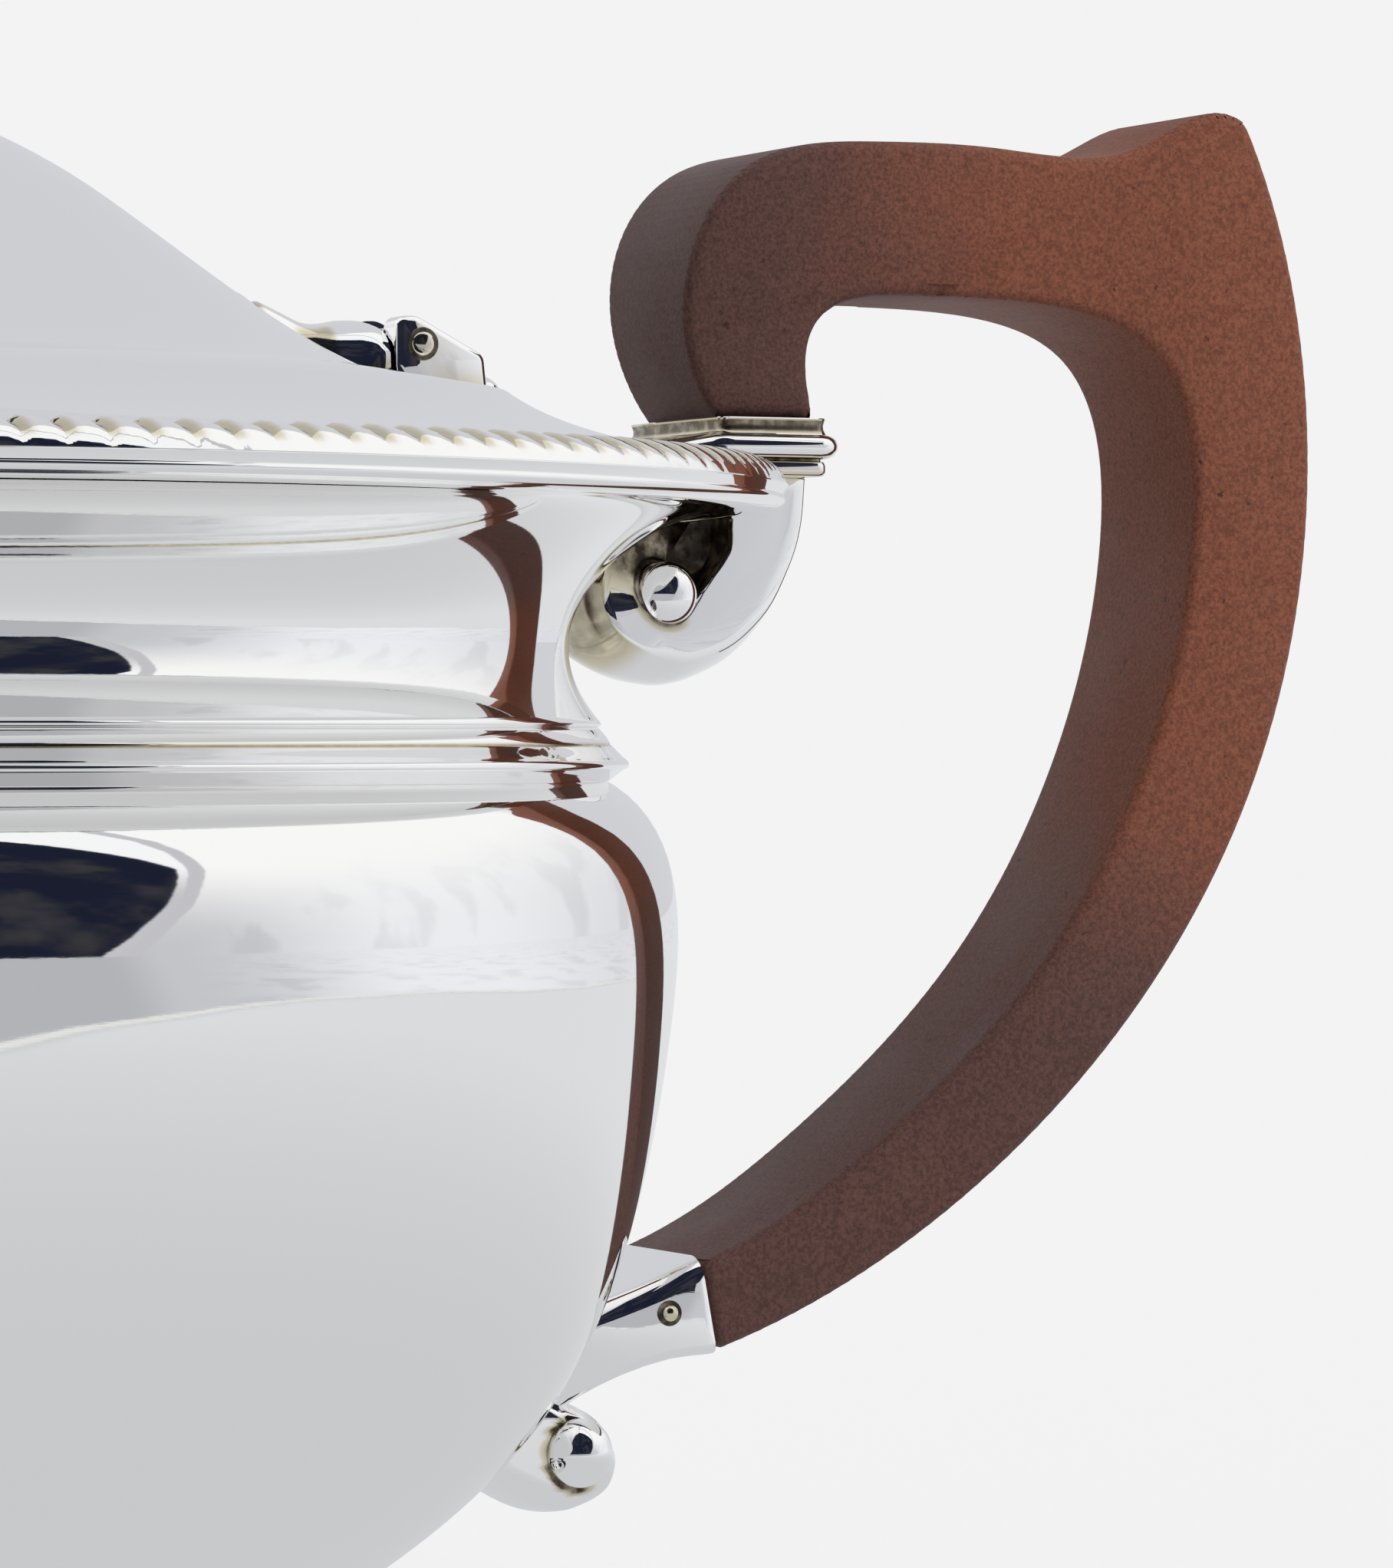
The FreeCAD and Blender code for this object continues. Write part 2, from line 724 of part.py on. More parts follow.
upper_plate = new_body("upper_plate")
wide = "(%s + 0.9)" % half
end_x = "%s + 1.2" % seat_stop
BEAD = [
    (end_x, "-1 * " + wide), (end_x, wide), (seat_start, wide), ("Sizes.rim_radius - 6.5", half + " * 0.5"),
    ("Sizes.rim_radius - 6.5", half + " * -0.5"), (seat_start, "-1 * " + wide),
]
layer(upper_plate, "bead", BEAD, RIM_TOP, bead_top)
top_plan = box_plan(seat_start + " - 0.5", seat_stop + " + 0.2", "(%s + 0.3)" % half)
layer(upper_plate, "top_step", top_plan, bead_top, SEAT)
low_plan = box_plan("Sizes.rim_radius + 0.8", seat_stop + " + 0.1", half)
layer(upper_plate, "low_step", low_plan, step_low, RIM_TOP)
plate_hole = new_sketch(upper_plate, "dowel_hole", "XY_Plane", SEAT)
draw_circle(plate_hole, (DOWEL_X, "0"), "Sizes.dowel_radius")
thick(upper_plate, plate_hole, "6", "dowel_cut", "PartDesign::Pocket")

upper_dowel = new_body("upper_dowel")
dowel_round = new_sketch(upper_dowel, "round", "XY_Plane", SEAT + " + (Sizes.dowel_length - 3) / 2")
draw_circle(dowel_round, (DOWEL_X, "0"), "Sizes.dowel_radius")
thick(upper_dowel, dowel_round, "Sizes.dowel_length + 3", "dowel")


def from_rim(across, up):
    return ("Sizes.rim_radius + %s" % across, "%s + %s" % (NECK_TOP, up))


# upper scroll: carries the plate and curls under the rim to the neck
EYE = from_rim(-5.0, -5.9)
upper_scroll = new_body("upper_scroll")
curl = new_sketch(upper_scroll, "curl")
stem_top = step_low
draw(
    curl,
    ("Sizes.rim_radius + 1", stem_top),
    [
        (("Sizes.rim_radius + 8.4", stem_top),),
        (
            from_rim(9.6, -0.4), from_rim(6.5, -9.5), from_rim(-6.4, -16.4),
            from_rim(-14.5, -5.4), from_rim(-8.3, -1.2),
        ),
        (from_rim(-5.5, -0.3), from_rim(-1.7, -0.8), from_rim(-0.3, -3.0)),
        (from_rim(1, -0.4),),
        (("Sizes.rim_radius + 1", stem_top),),
    ],
)
thick(upper_scroll, curl, "Sizes.scroll_width", "scroll")
soften(upper_scroll, flat_edge, "1.2", "edges")
bridge = new_sketch(upper_scroll, "bridge")
BRIDGE = [
    ("Sizes.waist_radius - 4", "%s - 9.4" % NECK_TOP), from_rim(-9, -9.4),
    from_rim(-9, -4.9), ("Sizes.waist_radius - 4", "%s - 4.9" % NECK_TOP),
]
draw(bridge, BRIDGE[0], [(point,) for point in BRIDGE[1:] + BRIDGE[:1]])
thick(upper_scroll, bridge, "Sizes.scroll_width * 0.6", "bridge_pad")
neck_in = shifted(NECK, bite, "Sizes.solder_bite")
cut_by_turning(
    upper_scroll,
    ("0", BAND_TOP),
    [
        ((neck_in[0][0], BAND_TOP),),
        (neck_in[0],),
        neck_in[1:],
        (("0", NECK_TOP + " + Sizes.solder_bite"),),
        (("0", BAND_TOP),),
    ],
    "neck_face",
)
eye_hole = new_sketch(upper_scroll, "eye_hole")
draw_circle(eye_hole, EYE, "Sizes.eye_radius")
thick(upper_scroll, eye_hole, "Sizes.scroll_width * 2", "eye_cut", "PartDesign::Pocket")
upper_scroll_eye = rod(
    "upper_scroll_eye", EYE, "Sizes.eye_radius", "Sizes.scroll_width + 1.6", "Sizes.eye_radius * 0.6"
)

bowl_bite = bowl_curve("Sizes.solder_bite")
BOWL_SOLID = [
    (bowl_bite[0],), bowl_bite[1:], (("0", bowl_bite[-1][1]),), (("0", bowl_bite[0][1]),),
]


def lay_on_bowl(body):
    return cut_by_turning(body, ("0", bowl_bite[0][1]), BOWL_SOLID, "bowl_face")


# lower socket: a ferrule round the handle's tenon, soldered to the bowl
lower_socket = new_body("lower_socket")
ferrule = new_sketch(lower_socket, "side")
draw(
    ferrule,
    from_joint(-1.422, 7.9),
    [
        (from_joint(-9.5, 4.8),),
        (from_joint(-18.5, 1.4),),
        (from_joint(-18.5, -2.1),),
        (from_joint(-12.4, -4.2),),
        (from_joint(-9.0, -1.6), from_joint(-4.6, -0.4), from_joint(0.027, -0.15)),
        (from_joint(-1.422, 7.9),),
    ],
)
thick(lower_socket, ferrule, "Sizes.socket_width", "ferrule")
taper = new_sketch(lower_socket, "taper", "XY_Plane", JOINT_Z)
for side in ("Sizes.socket_width", "-1 * Sizes.socket_width"):
    WEDGE = [
        (JOINT_X + " - 6.5", side + " * 0.5"),
        (JOINT_X + " - 20", side + " * 0.242"),
        (JOINT_X + " - 20", side + " * 0.64"),
    ]
    draw(taper, WEDGE[0], [(point,) for point in WEDGE[1:] + WEDGE[:1]])
thick(lower_socket, taper, "40", "taper_cut", "PartDesign::Pocket")
lay_on_bowl(lower_socket)
mortise = new_sketch(lower_socket, "mortise")
draw(mortise, TENON[0], [(point,) for point in TENON[1:] + TENON[:1]])
thick(lower_socket, mortise, "Sizes.tenon_width", "mortise_cut", "PartDesign::Pocket")
socket_rivet = new_sketch(lower_socket, "rivet_hole")
draw_circle(socket_rivet, RIVET, "Sizes.rivet_radius")
thick(lower_socket, socket_rivet, "Sizes.socket_width * 2", "rivet_cut", "PartDesign::Pocket")
lower_rivet = rod(
    "lower_rivet", RIVET, "Sizes.rivet_radius", "Sizes.socket_width + 0.6", "Sizes.rivet_radius * 0.4"
)

# lower scroll: a rolled terminal under the socket
BALL = from_joint(-11.1, -8.2)
lower_scroll = new_body("lower_scroll")
roll = new_sketch(lower_scroll, "roll")
draw(
    roll,
    from_joint(-12.4, -4.0),
    [
        (
            from_joint(-9.5, -4.99), from_joint(-6.0, -6.9), from_joint(-6.6, -13.0),
            from_joint(-11.6, -14.2), from_joint(-16.2, -11.47), from_joint(-19.5, -8.9),
        ),
        (from_joint(-24, -5.4),),
        (from_joint(-20, -1.4),),
        (from_joint(-12.4, -4.0),),
    ],
)
thick(lower_scroll, roll, "Sizes.terminal_width", "terminal")
soften(lower_scroll, lambda edge: edge.BoundBox.YLength < 0.01, "1.8", "edges")
lay_on_bowl(lower_scroll)
ball_hole = new_sketch(lower_scroll, "eye_hole")
draw_circle(ball_hole, BALL, "Sizes.terminal_eye")
thick(lower_scroll, ball_hole, "Sizes.terminal_width * 2", "eye_cut", "PartDesign::Pocket")
lower_scroll_eye = rod(
    "lower_scroll_eye", BALL, "Sizes.terminal_eye", "Sizes.terminal_width + 4", "Sizes.terminal_eye * 0.9"
)

# spout: round sections along an S-shaped rise, each with reach, rise, tilt and radius
spout = new_body("spout")
SECTIONS = [
    (-0.245, 0, 10, "Sizes.spout_root"),
    (0.184, 0.08, 32, "Sizes.spout_root * 0.78"),
    (0.51, 0.35, 55, "Sizes.spout_tip * 1.4"),
    (0.737, 0.7, 57, "Sizes.spout_tip * 1.12"),
    (1.0, 1.0, 42, "Sizes.spout_tip"),
]


def spout_sections(prefix, inset):
    made = []
    for count, (out, up, tilt, radius) in enumerate(SECTIONS):
        lift = "-1 * (Sizes.bowl_radius + Sizes.spout_reach * %s)" % out
        sketch = new_sketch(spout, "%s_%d" % (prefix, count), "YZ_Plane", lift)
        level = "Sizes.strainer_level + (%s + 3 - Sizes.strainer_level) * %s" % (RIM_TOP, up)
        sketch.setExpression("AttachmentOffset.Base.y", level)
        offset = sketch.AttachmentOffset
        offset.Rotation = FreeCAD.Rotation(FreeCAD.Vector(1, 0, 0), tilt)
        sketch.AttachmentOffset = offset
        draw_circle(sketch, ("0", "0"), "%s - %s" % (radius, inset))
        made.append(sketch)
    doc.recompute()
    return made


for kind, prefix, inset in (
    ("PartDesign::AdditiveLoft", "outer", "0"),
    ("PartDesign::SubtractiveLoft", "inner", "Sizes.spout_wall"),
):
    sections = spout_sections(prefix, inset)
    loft = spout.newObject(kind, "spout_" + prefix + "_loft")
    loft.Profile = sections[0]
    loft.Sections = sections[1:]
    doc.recompute()
lay_on_bowl(spout)

doc.recompute()
for thing in doc.Objects:
    if "Invalid" in thing.State or "Error" in thing.State:
        raise RuntimeError("broken feature: %s %s" % (thing.Name, thing.State))
os.makedirs("parts", exist_ok=True)
for body in doc.Objects:
    if body.TypeId != "PartDesign::Body":
        continue
    if body.Shape.isNull() or not body.Shape.isValid() or not body.Shape.Solids:
        raise RuntimeError("bad shape: " + body.Label)
    body.Shape.exportStep("parts/%s.step" % body.Label)
    box = body.Shape.BoundBox
    print("%-18s %9.0f  X %.1f..%.1f  Y %.1f..%.1f  Z %.1f..%.1f  solids %d" % (
        body.Label, body.Shape.Volume, box.XMin, box.XMax, box.YMin, box.YMax, box.ZMin, box.ZMax,
        len(body.Shape.Solids)))
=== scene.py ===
"""Looks of a round silver coffee pot with a wooden handle, a hinged lid and a spout."""

import json
import logging
import math
from collections.abc import Callable
from dataclasses import dataclass, field
from enum import Enum

import bpy
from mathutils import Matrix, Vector


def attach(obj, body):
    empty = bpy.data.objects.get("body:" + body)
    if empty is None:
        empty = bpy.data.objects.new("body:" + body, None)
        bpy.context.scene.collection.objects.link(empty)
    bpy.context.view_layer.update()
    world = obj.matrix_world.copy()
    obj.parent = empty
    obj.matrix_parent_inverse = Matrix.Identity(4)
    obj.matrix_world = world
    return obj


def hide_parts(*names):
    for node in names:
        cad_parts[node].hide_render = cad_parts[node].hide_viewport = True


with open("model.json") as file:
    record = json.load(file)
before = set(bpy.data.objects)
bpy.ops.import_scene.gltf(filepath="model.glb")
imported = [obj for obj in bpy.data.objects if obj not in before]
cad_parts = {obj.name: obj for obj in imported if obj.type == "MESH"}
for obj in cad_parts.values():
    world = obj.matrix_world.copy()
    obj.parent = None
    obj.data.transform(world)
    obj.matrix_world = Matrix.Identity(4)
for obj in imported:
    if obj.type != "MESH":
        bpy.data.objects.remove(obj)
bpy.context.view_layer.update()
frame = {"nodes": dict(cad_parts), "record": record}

LOG = logging.getLogger("coffee_pot")
MM = 0.001
Pair = tuple[float, float]
Triple = tuple[float, float, float]


class Body(Enum):
    """The two bodies that pieces ride on."""

    POT = "pot"
    LID = "lid"


class Slot(Enum):
    """Material slots of the record."""

    SILVER = "silver"
    WOOD = "wood"
    STEEL = "steel"


def spline(poles: list[Pair], count: int) -> list[Pair]:
    """Points along a smooth curve from the first pole to the last.

    Args:
        poles: Points that pull the curve.
        count: Number of steps along it.

    Returns:
        The points, both ends among them.
    """
    degree = min(3, len(poles) - 1)
    spans = len(poles) - degree
    knots = [0.0] * degree + [float(k) for k in range(spans + 1)] + [float(spans)] * degree
    made = []
    for step in range(count + 1):
        at = spans * step / count
        base = min(int(at), spans - 1)
        work = [Vector(pole) for pole in poles[base : base + degree + 1]]
        for level in range(1, degree + 1):
            for j in range(degree, level - 1, -1):
                low = knots[base + j]
                high = knots[base + degree + j + 1 - level]
                work[j] = work[j - 1].lerp(work[j], (at - low) / (high - low))
        made.append(tuple(work[degree]))
    return made


def follow(stops: list[Pair], at: float) -> float:
    """Value at a place on a smooth line through given stops.

    Args:
        stops: Places in rising order, each with its value.
        at: The place.

    Returns:
        The value there, or that of the nearest end.
    """
    last = len(stops) - 1
    at = min(max(at, stops[0][0]), stops[last][0])
    here = 0
    while here < last - 1 and at > stops[here + 1][0]:
        here += 1

    def lean(index: int) -> float:
        """Slope of the line at one stop."""
        low, high = stops[max(index - 1, 0)], stops[min(index + 1, last)]
        return (high[1] - low[1]) / (high[0] - low[0])

    (start, first), (stop, second) = stops[here], stops[here + 1]
    span = stop - start
    share = (at - start) / span
    rest = 1.0 - share
    bend = lean(here) * share * rest * rest - lean(here + 1) * share * share * rest
    level = first * (1.0 + 2.0 * share) * rest * rest + second * share * share * (3.0 - 2.0 * share)
    return level + span * bend


def ease(value: float, low: float, high: float) -> float:
    """Smooth step from 0 at low to 1 at high."""
    share = min(max((value - low) / (high - low), 0.0), 1.0)
    return share * share * (3.0 - 2.0 * share)


def rounded(corners: list[Triple], grow: float = 0.0, steps: int = 5) -> list[Pair]:
    """Points round a convex outline with rounded corners.

    Args:
        corners: Place and radius of each corner, counter-clockwise.
        grow: Distance by which the outline is grown.
        steps: Steps of each rounding.

    Returns:
        The points, the first one again at the end.
    """
    made = []
    for index, (x, y, radius) in enumerate(corners):
        here = Vector((x, y))
        came = (here - Vector(corners[index - 1][:2])).normalized()
        goes = (Vector(corners[(index + 1) % len(corners)][:2]) - here).normalized()
        first, second = Vector((came.y, -came.x)), Vector((goes.y, -goes.x))
        hub = here - (first + second) / (1.0 + first.dot(second)) * radius
        start = math.atan2(first.y, first.x)
        turn = math.acos(min(max(first.dot(second), -1.0), 1.0))
        for step in range(steps + 1):
            angle = start + turn * step / steps
            made.append(
                (hub.x + (radius + grow) * math.cos(angle), hub.y + (radius + grow) * math.sin(angle))
            )
    return [*made, made[0]]


@dataclass
class Outline:
    """A line of points in millimetres, drawn from straight runs and smooth curves."""

    points: list[Pair]

    def run(self, *stops: Pair) -> "Outline":
        """Add straight runs to the given points."""
        self.points.extend(stops)
        return self

    def curve(self, poles: list[Pair], count: int = 24) -> "Outline":
        """Add a smooth curve that leaves the last point and follows the poles."""
        self.points.extend(spline([self.points[-1], *poles], count)[1:])
        return self


class Bench:
    """Hand tools for modelling, each for the piece that is active."""

    @staticmethod
    def rest() -> None:
        """Leave edit mode and deselect everything."""
        if bpy.context.object is not None and bpy.context.object.mode != "OBJECT":
            bpy.ops.object.mode_set(mode="OBJECT")
        bpy.ops.object.select_all(action="DESELECT")

    @staticmethod
    def take(piece: bpy.types.Object) -> bpy.types.Object:
        """Make one piece the selected and active one.

        Args:
            piece: The piece.

        Returns:
            The piece.
        """
        Bench.rest()
        piece.select_set(True)
        bpy.context.view_layer.objects.active = piece
        return piece

    @staticmethod
    def named(name: str) -> bpy.types.Object:
        """Name the new primitive and put its place into its mesh.

        Args:
            name: Its name.

        Returns:
            The primitive, ready to be shaped.
        """
        piece = bpy.context.object
        piece.name = name
        piece.data.name = name
        bpy.ops.object.transform_apply(location=True, rotation=True, scale=True)
        return piece

    @staticmethod
    def wire(name: str, points: list[Vector], closed: bool = False) -> bpy.types.Object:
        """Draw a line of edges by extruding one point after another.

        Args:
            name: Name of the piece.
            points: Points in metres.
            closed: True to join the last point to the first.

        Returns:
            The piece, in edit mode with all of it selected.
        """
        Bench.rest()
        bpy.ops.mesh.primitive_plane_add(size=MM, location=points[0])
        piece = Bench.named(name)
        bpy.ops.object.mode_set(mode="EDIT")
        bpy.ops.mesh.select_all(action="SELECT")
        bpy.ops.mesh.merge(type="CENTER")
        for here, there in zip(points, points[1:]):
            bpy.ops.mesh.extrude_region_move(TRANSFORM_OT_translate={"value": there - here})
        if closed:
            bpy.ops.mesh.select_all(action="DESELECT")
            bpy.ops.object.mode_set(mode="OBJECT")
            for index in (0, len(points) - 1):
                piece.data.vertices[index].select = True
            bpy.ops.object.mode_set(mode="EDIT")
            bpy.ops.mesh.edge_face_add()
        bpy.ops.mesh.select_all(action="SELECT")
        return piece

    @staticmethod
    def clean() -> None:
        """Merge doubles and turn all faces outwards, then leave edit mode."""
        bpy.ops.mesh.select_all(action="SELECT")
        bpy.ops.mesh.remove_doubles(threshold=1e-6)
        bpy.ops.mesh.normals_make_consistent(inside=False)
        bpy.ops.object.mode_set(mode="OBJECT")

    @staticmethod
    def smooth(piece: bpy.types.Object, degrees: float = 38.0) -> bpy.types.Object:
        """Shade a piece smooth, with an edge where faces meet at more than an angle.

        Args:
            piece: The piece.
            degrees: The angle.

        Returns:
            The piece.
        """
        Bench.take(piece)
        bpy.ops.object.shade_smooth_by_angle(angle=math.radians(degrees))
        return piece

    @staticmethod
    def turned(name: str, outline: Outline, steps: int = 224, closed: bool = False,
               hub: Pair | None = None) -> bpy.types.Object:
        """Spin an outline about the pot's axis, or about a line across the pot.

        Args:
            name: Name of the piece.
            outline: Radius and place along the axis, in millimetres.
            steps: Number of steps round the axis.
            closed: True if the outline is a ring clear of the axis.
            hub: Where the line across the pot stands, if the piece turns about it.

        Returns:
            The finished piece.
        """
        if hub is None:
            points = [Vector((r, 0.0, z)) * MM for r, z in outline.points]
            center, axis = Vector((0, 0, 0)), (0, 0, 1)
        else:
            points = [Vector((hub[0] + r, y, hub[1])) * MM for r, y in outline.points]
            center, axis = Vector((hub[0], 0, hub[1])) * MM, (0, 1, 0)
        piece = Bench.wire(name, points, closed)
        bpy.ops.mesh.spin(steps=steps, angle=2 * math.pi, center=center, axis=axis)
        Bench.clean()
        return Bench.smooth(piece)

    @staticmethod
    def sheet(name: str, rows: list[list[Triple]], degrees: float = 38.0) -> bpy.types.Object:
        """Lay a grid over rows of points, all of one length, and merge it where they meet.

        Args:
            name: Name of the piece.
            rows: Points in millimetres.
            degrees: Angle past which an edge is sharp.

        Returns:
            The finished piece.
        """
        Bench.rest()
        bpy.ops.mesh.primitive_grid_add(
            x_subdivisions=len(rows[0]) - 1, y_subdivisions=len(rows) - 1, size=MM
        )
        piece = Bench.named(name)
        piece.data.vertices.foreach_set("co", [c * MM for row in rows for point in row for c in point])
        bpy.ops.object.mode_set(mode="EDIT")
        Bench.clean()
        return Bench.smooth(piece, degrees)

    @staticmethod
    def cut(piece: bpy.types.Object, cutter: bpy.types.Object) -> bpy.types.Object:
        """Take a cutter's shape out of a piece, and put the cutter away.

        Args:
            piece: The piece.
            cutter: The cutter.

        Returns:
            The piece.
        """
        Bench.take(piece)
        tool = piece.modifiers.new("cut", "BOOLEAN")
        tool.object = cutter
        tool.operation = "DIFFERENCE"
        bpy.ops.object.modifier_apply(modifier=tool.name)
        bpy.data.objects.remove(cutter)
        return Bench.smooth(piece)

    @staticmethod
    def join(piece: bpy.types.Object, *others: bpy.types.Object) -> bpy.types.Object:
        """Make other pieces part of one piece.

        Args:
            piece: The piece that stays.
            others: Pieces that become part of it.

        Returns:
            The piece.
        """
        Bench.take(piece)
        for other in others:
            other.select_set(True)
        bpy.ops.object.join()
        return piece

    @staticmethod
    def peg(place: Triple, radius: float, length: float, along: Triple) -> bpy.types.Object:
        """Make a round cutter, in millimetres.

        Args:
            place: Its middle.
            radius: Its radius.
            length: Its length.
            along: Direction of its axis.

        Returns:
            The cutter.
        """
        Bench.rest()
        bpy.ops.mesh.primitive_cylinder_add(
            vertices=32, radius=radius * MM, depth=length * MM, location=Vector(place) * MM,
            rotation=Vector(along).to_track_quat("Z", "Y").to_euler(),
        )
        return Bench.named("peg")

    @staticmethod
    def stain(piece: bpy.types.Object, shade: Callable[[Vector], float]) -> bpy.types.Object:
        """Note how tarnished each point of a piece is.

        Args:
            piece: The piece.
            shade: Gives a share from 0 to 1 for a point in millimetres.

        Returns:
            The piece.
        """
        layer = piece.data.attributes.new("tarnish", "FLOAT", "POINT")
        layer.data.foreach_set("value", [shade(point.co / MM) for point in piece.data.vertices])
        return piece

    @staticmethod
    def slab(
        name: str, outline: Outline, thickness: float, edge: float, segments: int = 4
    ) -> bpy.types.Object:
        """Pad a closed side outline across the pot and round the rims of both faces.

        Args:
            name: Name of the piece.
            outline: Closed outline in the plane of the handle, in millimetres.
            thickness: Full thickness across, in millimetres.
            edge: Radius of the rounded rims, in millimetres.
            segments: Steps of the rounding.

        Returns:
            The finished piece.
        """
        half = thickness / 2 * MM
        points = [Vector((x * MM, -half, z * MM)) for x, z in outline.points]
        piece = Bench.wire(name, points, True)
        bpy.ops.mesh.edge_face_add()
        bpy.ops.mesh.extrude_region_move(TRANSFORM_OT_translate={"value": (0, 2 * half, 0)})
        bpy.ops.object.mode_set(mode="OBJECT")
        mesh = piece.data
        for item in (*mesh.polygons, *mesh.edges, *mesh.vertices):
            item.select = False
        for rim in mesh.edges:
            ends = [mesh.vertices[v].co.y for v in rim.vertices]
            rim.select = abs(ends[0] - ends[1]) < 1e-7
        bpy.ops.object.mode_set(mode="EDIT")
        bpy.ops.mesh.bevel(offset=edge * MM, segments=segments, profile=0.5, affect="EDGES")
        Bench.clean()
        return Bench.smooth(piece)


class Tree:
    """A node tree that is filled one node at a time."""

    def __init__(self, owner: bpy.types.ID) -> None:
        """Empty the owner's node tree.

        Args:
            owner: Material or world that has the tree.
        """
        owner.use_nodes = True
        self.tree = owner.node_tree
        self.tree.nodes.clear()

    def add(self, kind: str, inputs: dict | None = None, **settings: object) -> bpy.types.Node:
        """Add a node.

        Args:
            kind: Node type.
            inputs: Values or output sockets, by input name or number.
            settings: Properties of the node.

        Returns:
            The node.
        """
        node = self.tree.nodes.new(kind)
        for key, value in settings.items():
            setattr(node, key, value)
        for key, value in (inputs or {}).items():
            if isinstance(value, bpy.types.NodeSocket):
                self.tree.links.new(value, node.inputs[key])
            else:
                node.inputs[key].default_value = value
        return node

    def math(self, operation: str, *values: object) -> bpy.types.NodeSocket:
        """One sum of numbers or sockets; returns its result."""
        return self.add("ShaderNodeMath", dict(enumerate(values)), operation=operation).outputs[0]

    def span(self, value: bpy.types.NodeSocket, low: float, high: float,
             first: float = 0.0, last: float = 1.0) -> bpy.types.NodeSocket:
        """Smooth step of a value.

        Args:
            value: The value.
            low: Where the step starts.
            high: Where it ends.
            first: Result up to low.
            last: Result from high on.

        Returns:
            The result.
        """
        node = self.add(
            "ShaderNodeMapRange",
            {"Value": value, "From Min": low, "From Max": high, "To Min": first, "To Max": last},
            interpolation_type="SMOOTHSTEP",
        )
        return node.outputs[0]

    def mix(self, share: object, first: object, second: object) -> bpy.types.NodeSocket:
        """Blend of two colours; returns its result."""
        node = self.add("ShaderNodeMix", {0: share, 6: first, 7: second}, data_type="RGBA")
        return node.outputs[2]

    def noise(self, place: bpy.types.NodeSocket, scale: float, detail: float = 2.0,
              rough: float = 0.5) -> bpy.types.NodeSocket:
        """Cloudy noise.

        Args:
            place: Where it is read.
            scale: Its scale.
            detail: How many finer layers it has.
            rough: How strong those are.

        Returns:
            Its value.
        """
        node = self.add(
            "ShaderNodeTexNoise", {"Vector": place, "Scale": scale, "Detail": detail, "Roughness": rough}
        )
        return node.outputs[0]


@dataclass(frozen=True)
class Silver:
    """Polished silver with spun ripples and fine scratches, yellow and then black where it tarnishes."""

    name: str = "polished_silver"
    colour: Triple = (0.93, 0.927, 0.918)
    film: Triple = (0.70, 0.64, 0.48)
    grime: Triple = (0.07, 0.052, 0.038)
    roughness: float = 0.03

    def make(self) -> bpy.types.Material:
        """Build the material.

        Returns:
            The material.
        """
        material = bpy.data.materials.new(self.name)
        tree = Tree(material)
        place = tree.add("ShaderNodeTexCoord").outputs["Object"]
        spun = tree.add("ShaderNodeMapping", {"Vector": place, "Scale": (55.0, 55.0, 190.0)})
        drawn = tree.add("ShaderNodeMapping", {"Vector": place, "Scale": (900.0, 900.0, 9000.0)})
        fine = tree.noise(place, 900.0, 3.0)
        bump = tree.add(
            "ShaderNodeBump", {"Strength": 1.0, "Distance": 0.00002, "Height": tree.noise(place, 42.0, 1.0)}
        )
        wave = tree.add("ShaderNodeBump", {
            "Strength": 1.0, "Distance": 0.0000055, "Height": tree.noise(spun.outputs[0], 1.0, 1.0),
            "Normal": bump.outputs[0],
        })
        fray = tree.add("ShaderNodeBump", {
            "Strength": 0.25, "Distance": 0.0000015, "Height": tree.noise(drawn.outputs[0], 1.0, 2.0),
            "Normal": wave.outputs[0],
        })
        dirt = tree.add("ShaderNodeAttribute", attribute_name="tarnish").outputs["Fac"]
        yellow = tree.mix(tree.span(dirt, 0.0, 0.45), (*self.colour, 1.0), (*self.film, 1.0))
        black = tree.math("MULTIPLY", tree.span(dirt, 0.4, 0.92), tree.span(fine, 0.28, 0.62, 0.55, 1.0))
        colour = tree.mix(black, yellow, (*self.grime, 1.0))
        rough = tree.math("MULTIPLY_ADD", black, 0.42, self.roughness)
        shader = tree.add(
            "ShaderNodeBsdfPrincipled",
            {"Base Color": colour, "Metallic": 1.0, "Roughness": rough, "Normal": fray.outputs[0]},
        )
        tree.add("ShaderNodeOutputMaterial", {0: shader.outputs[0]})
        return material


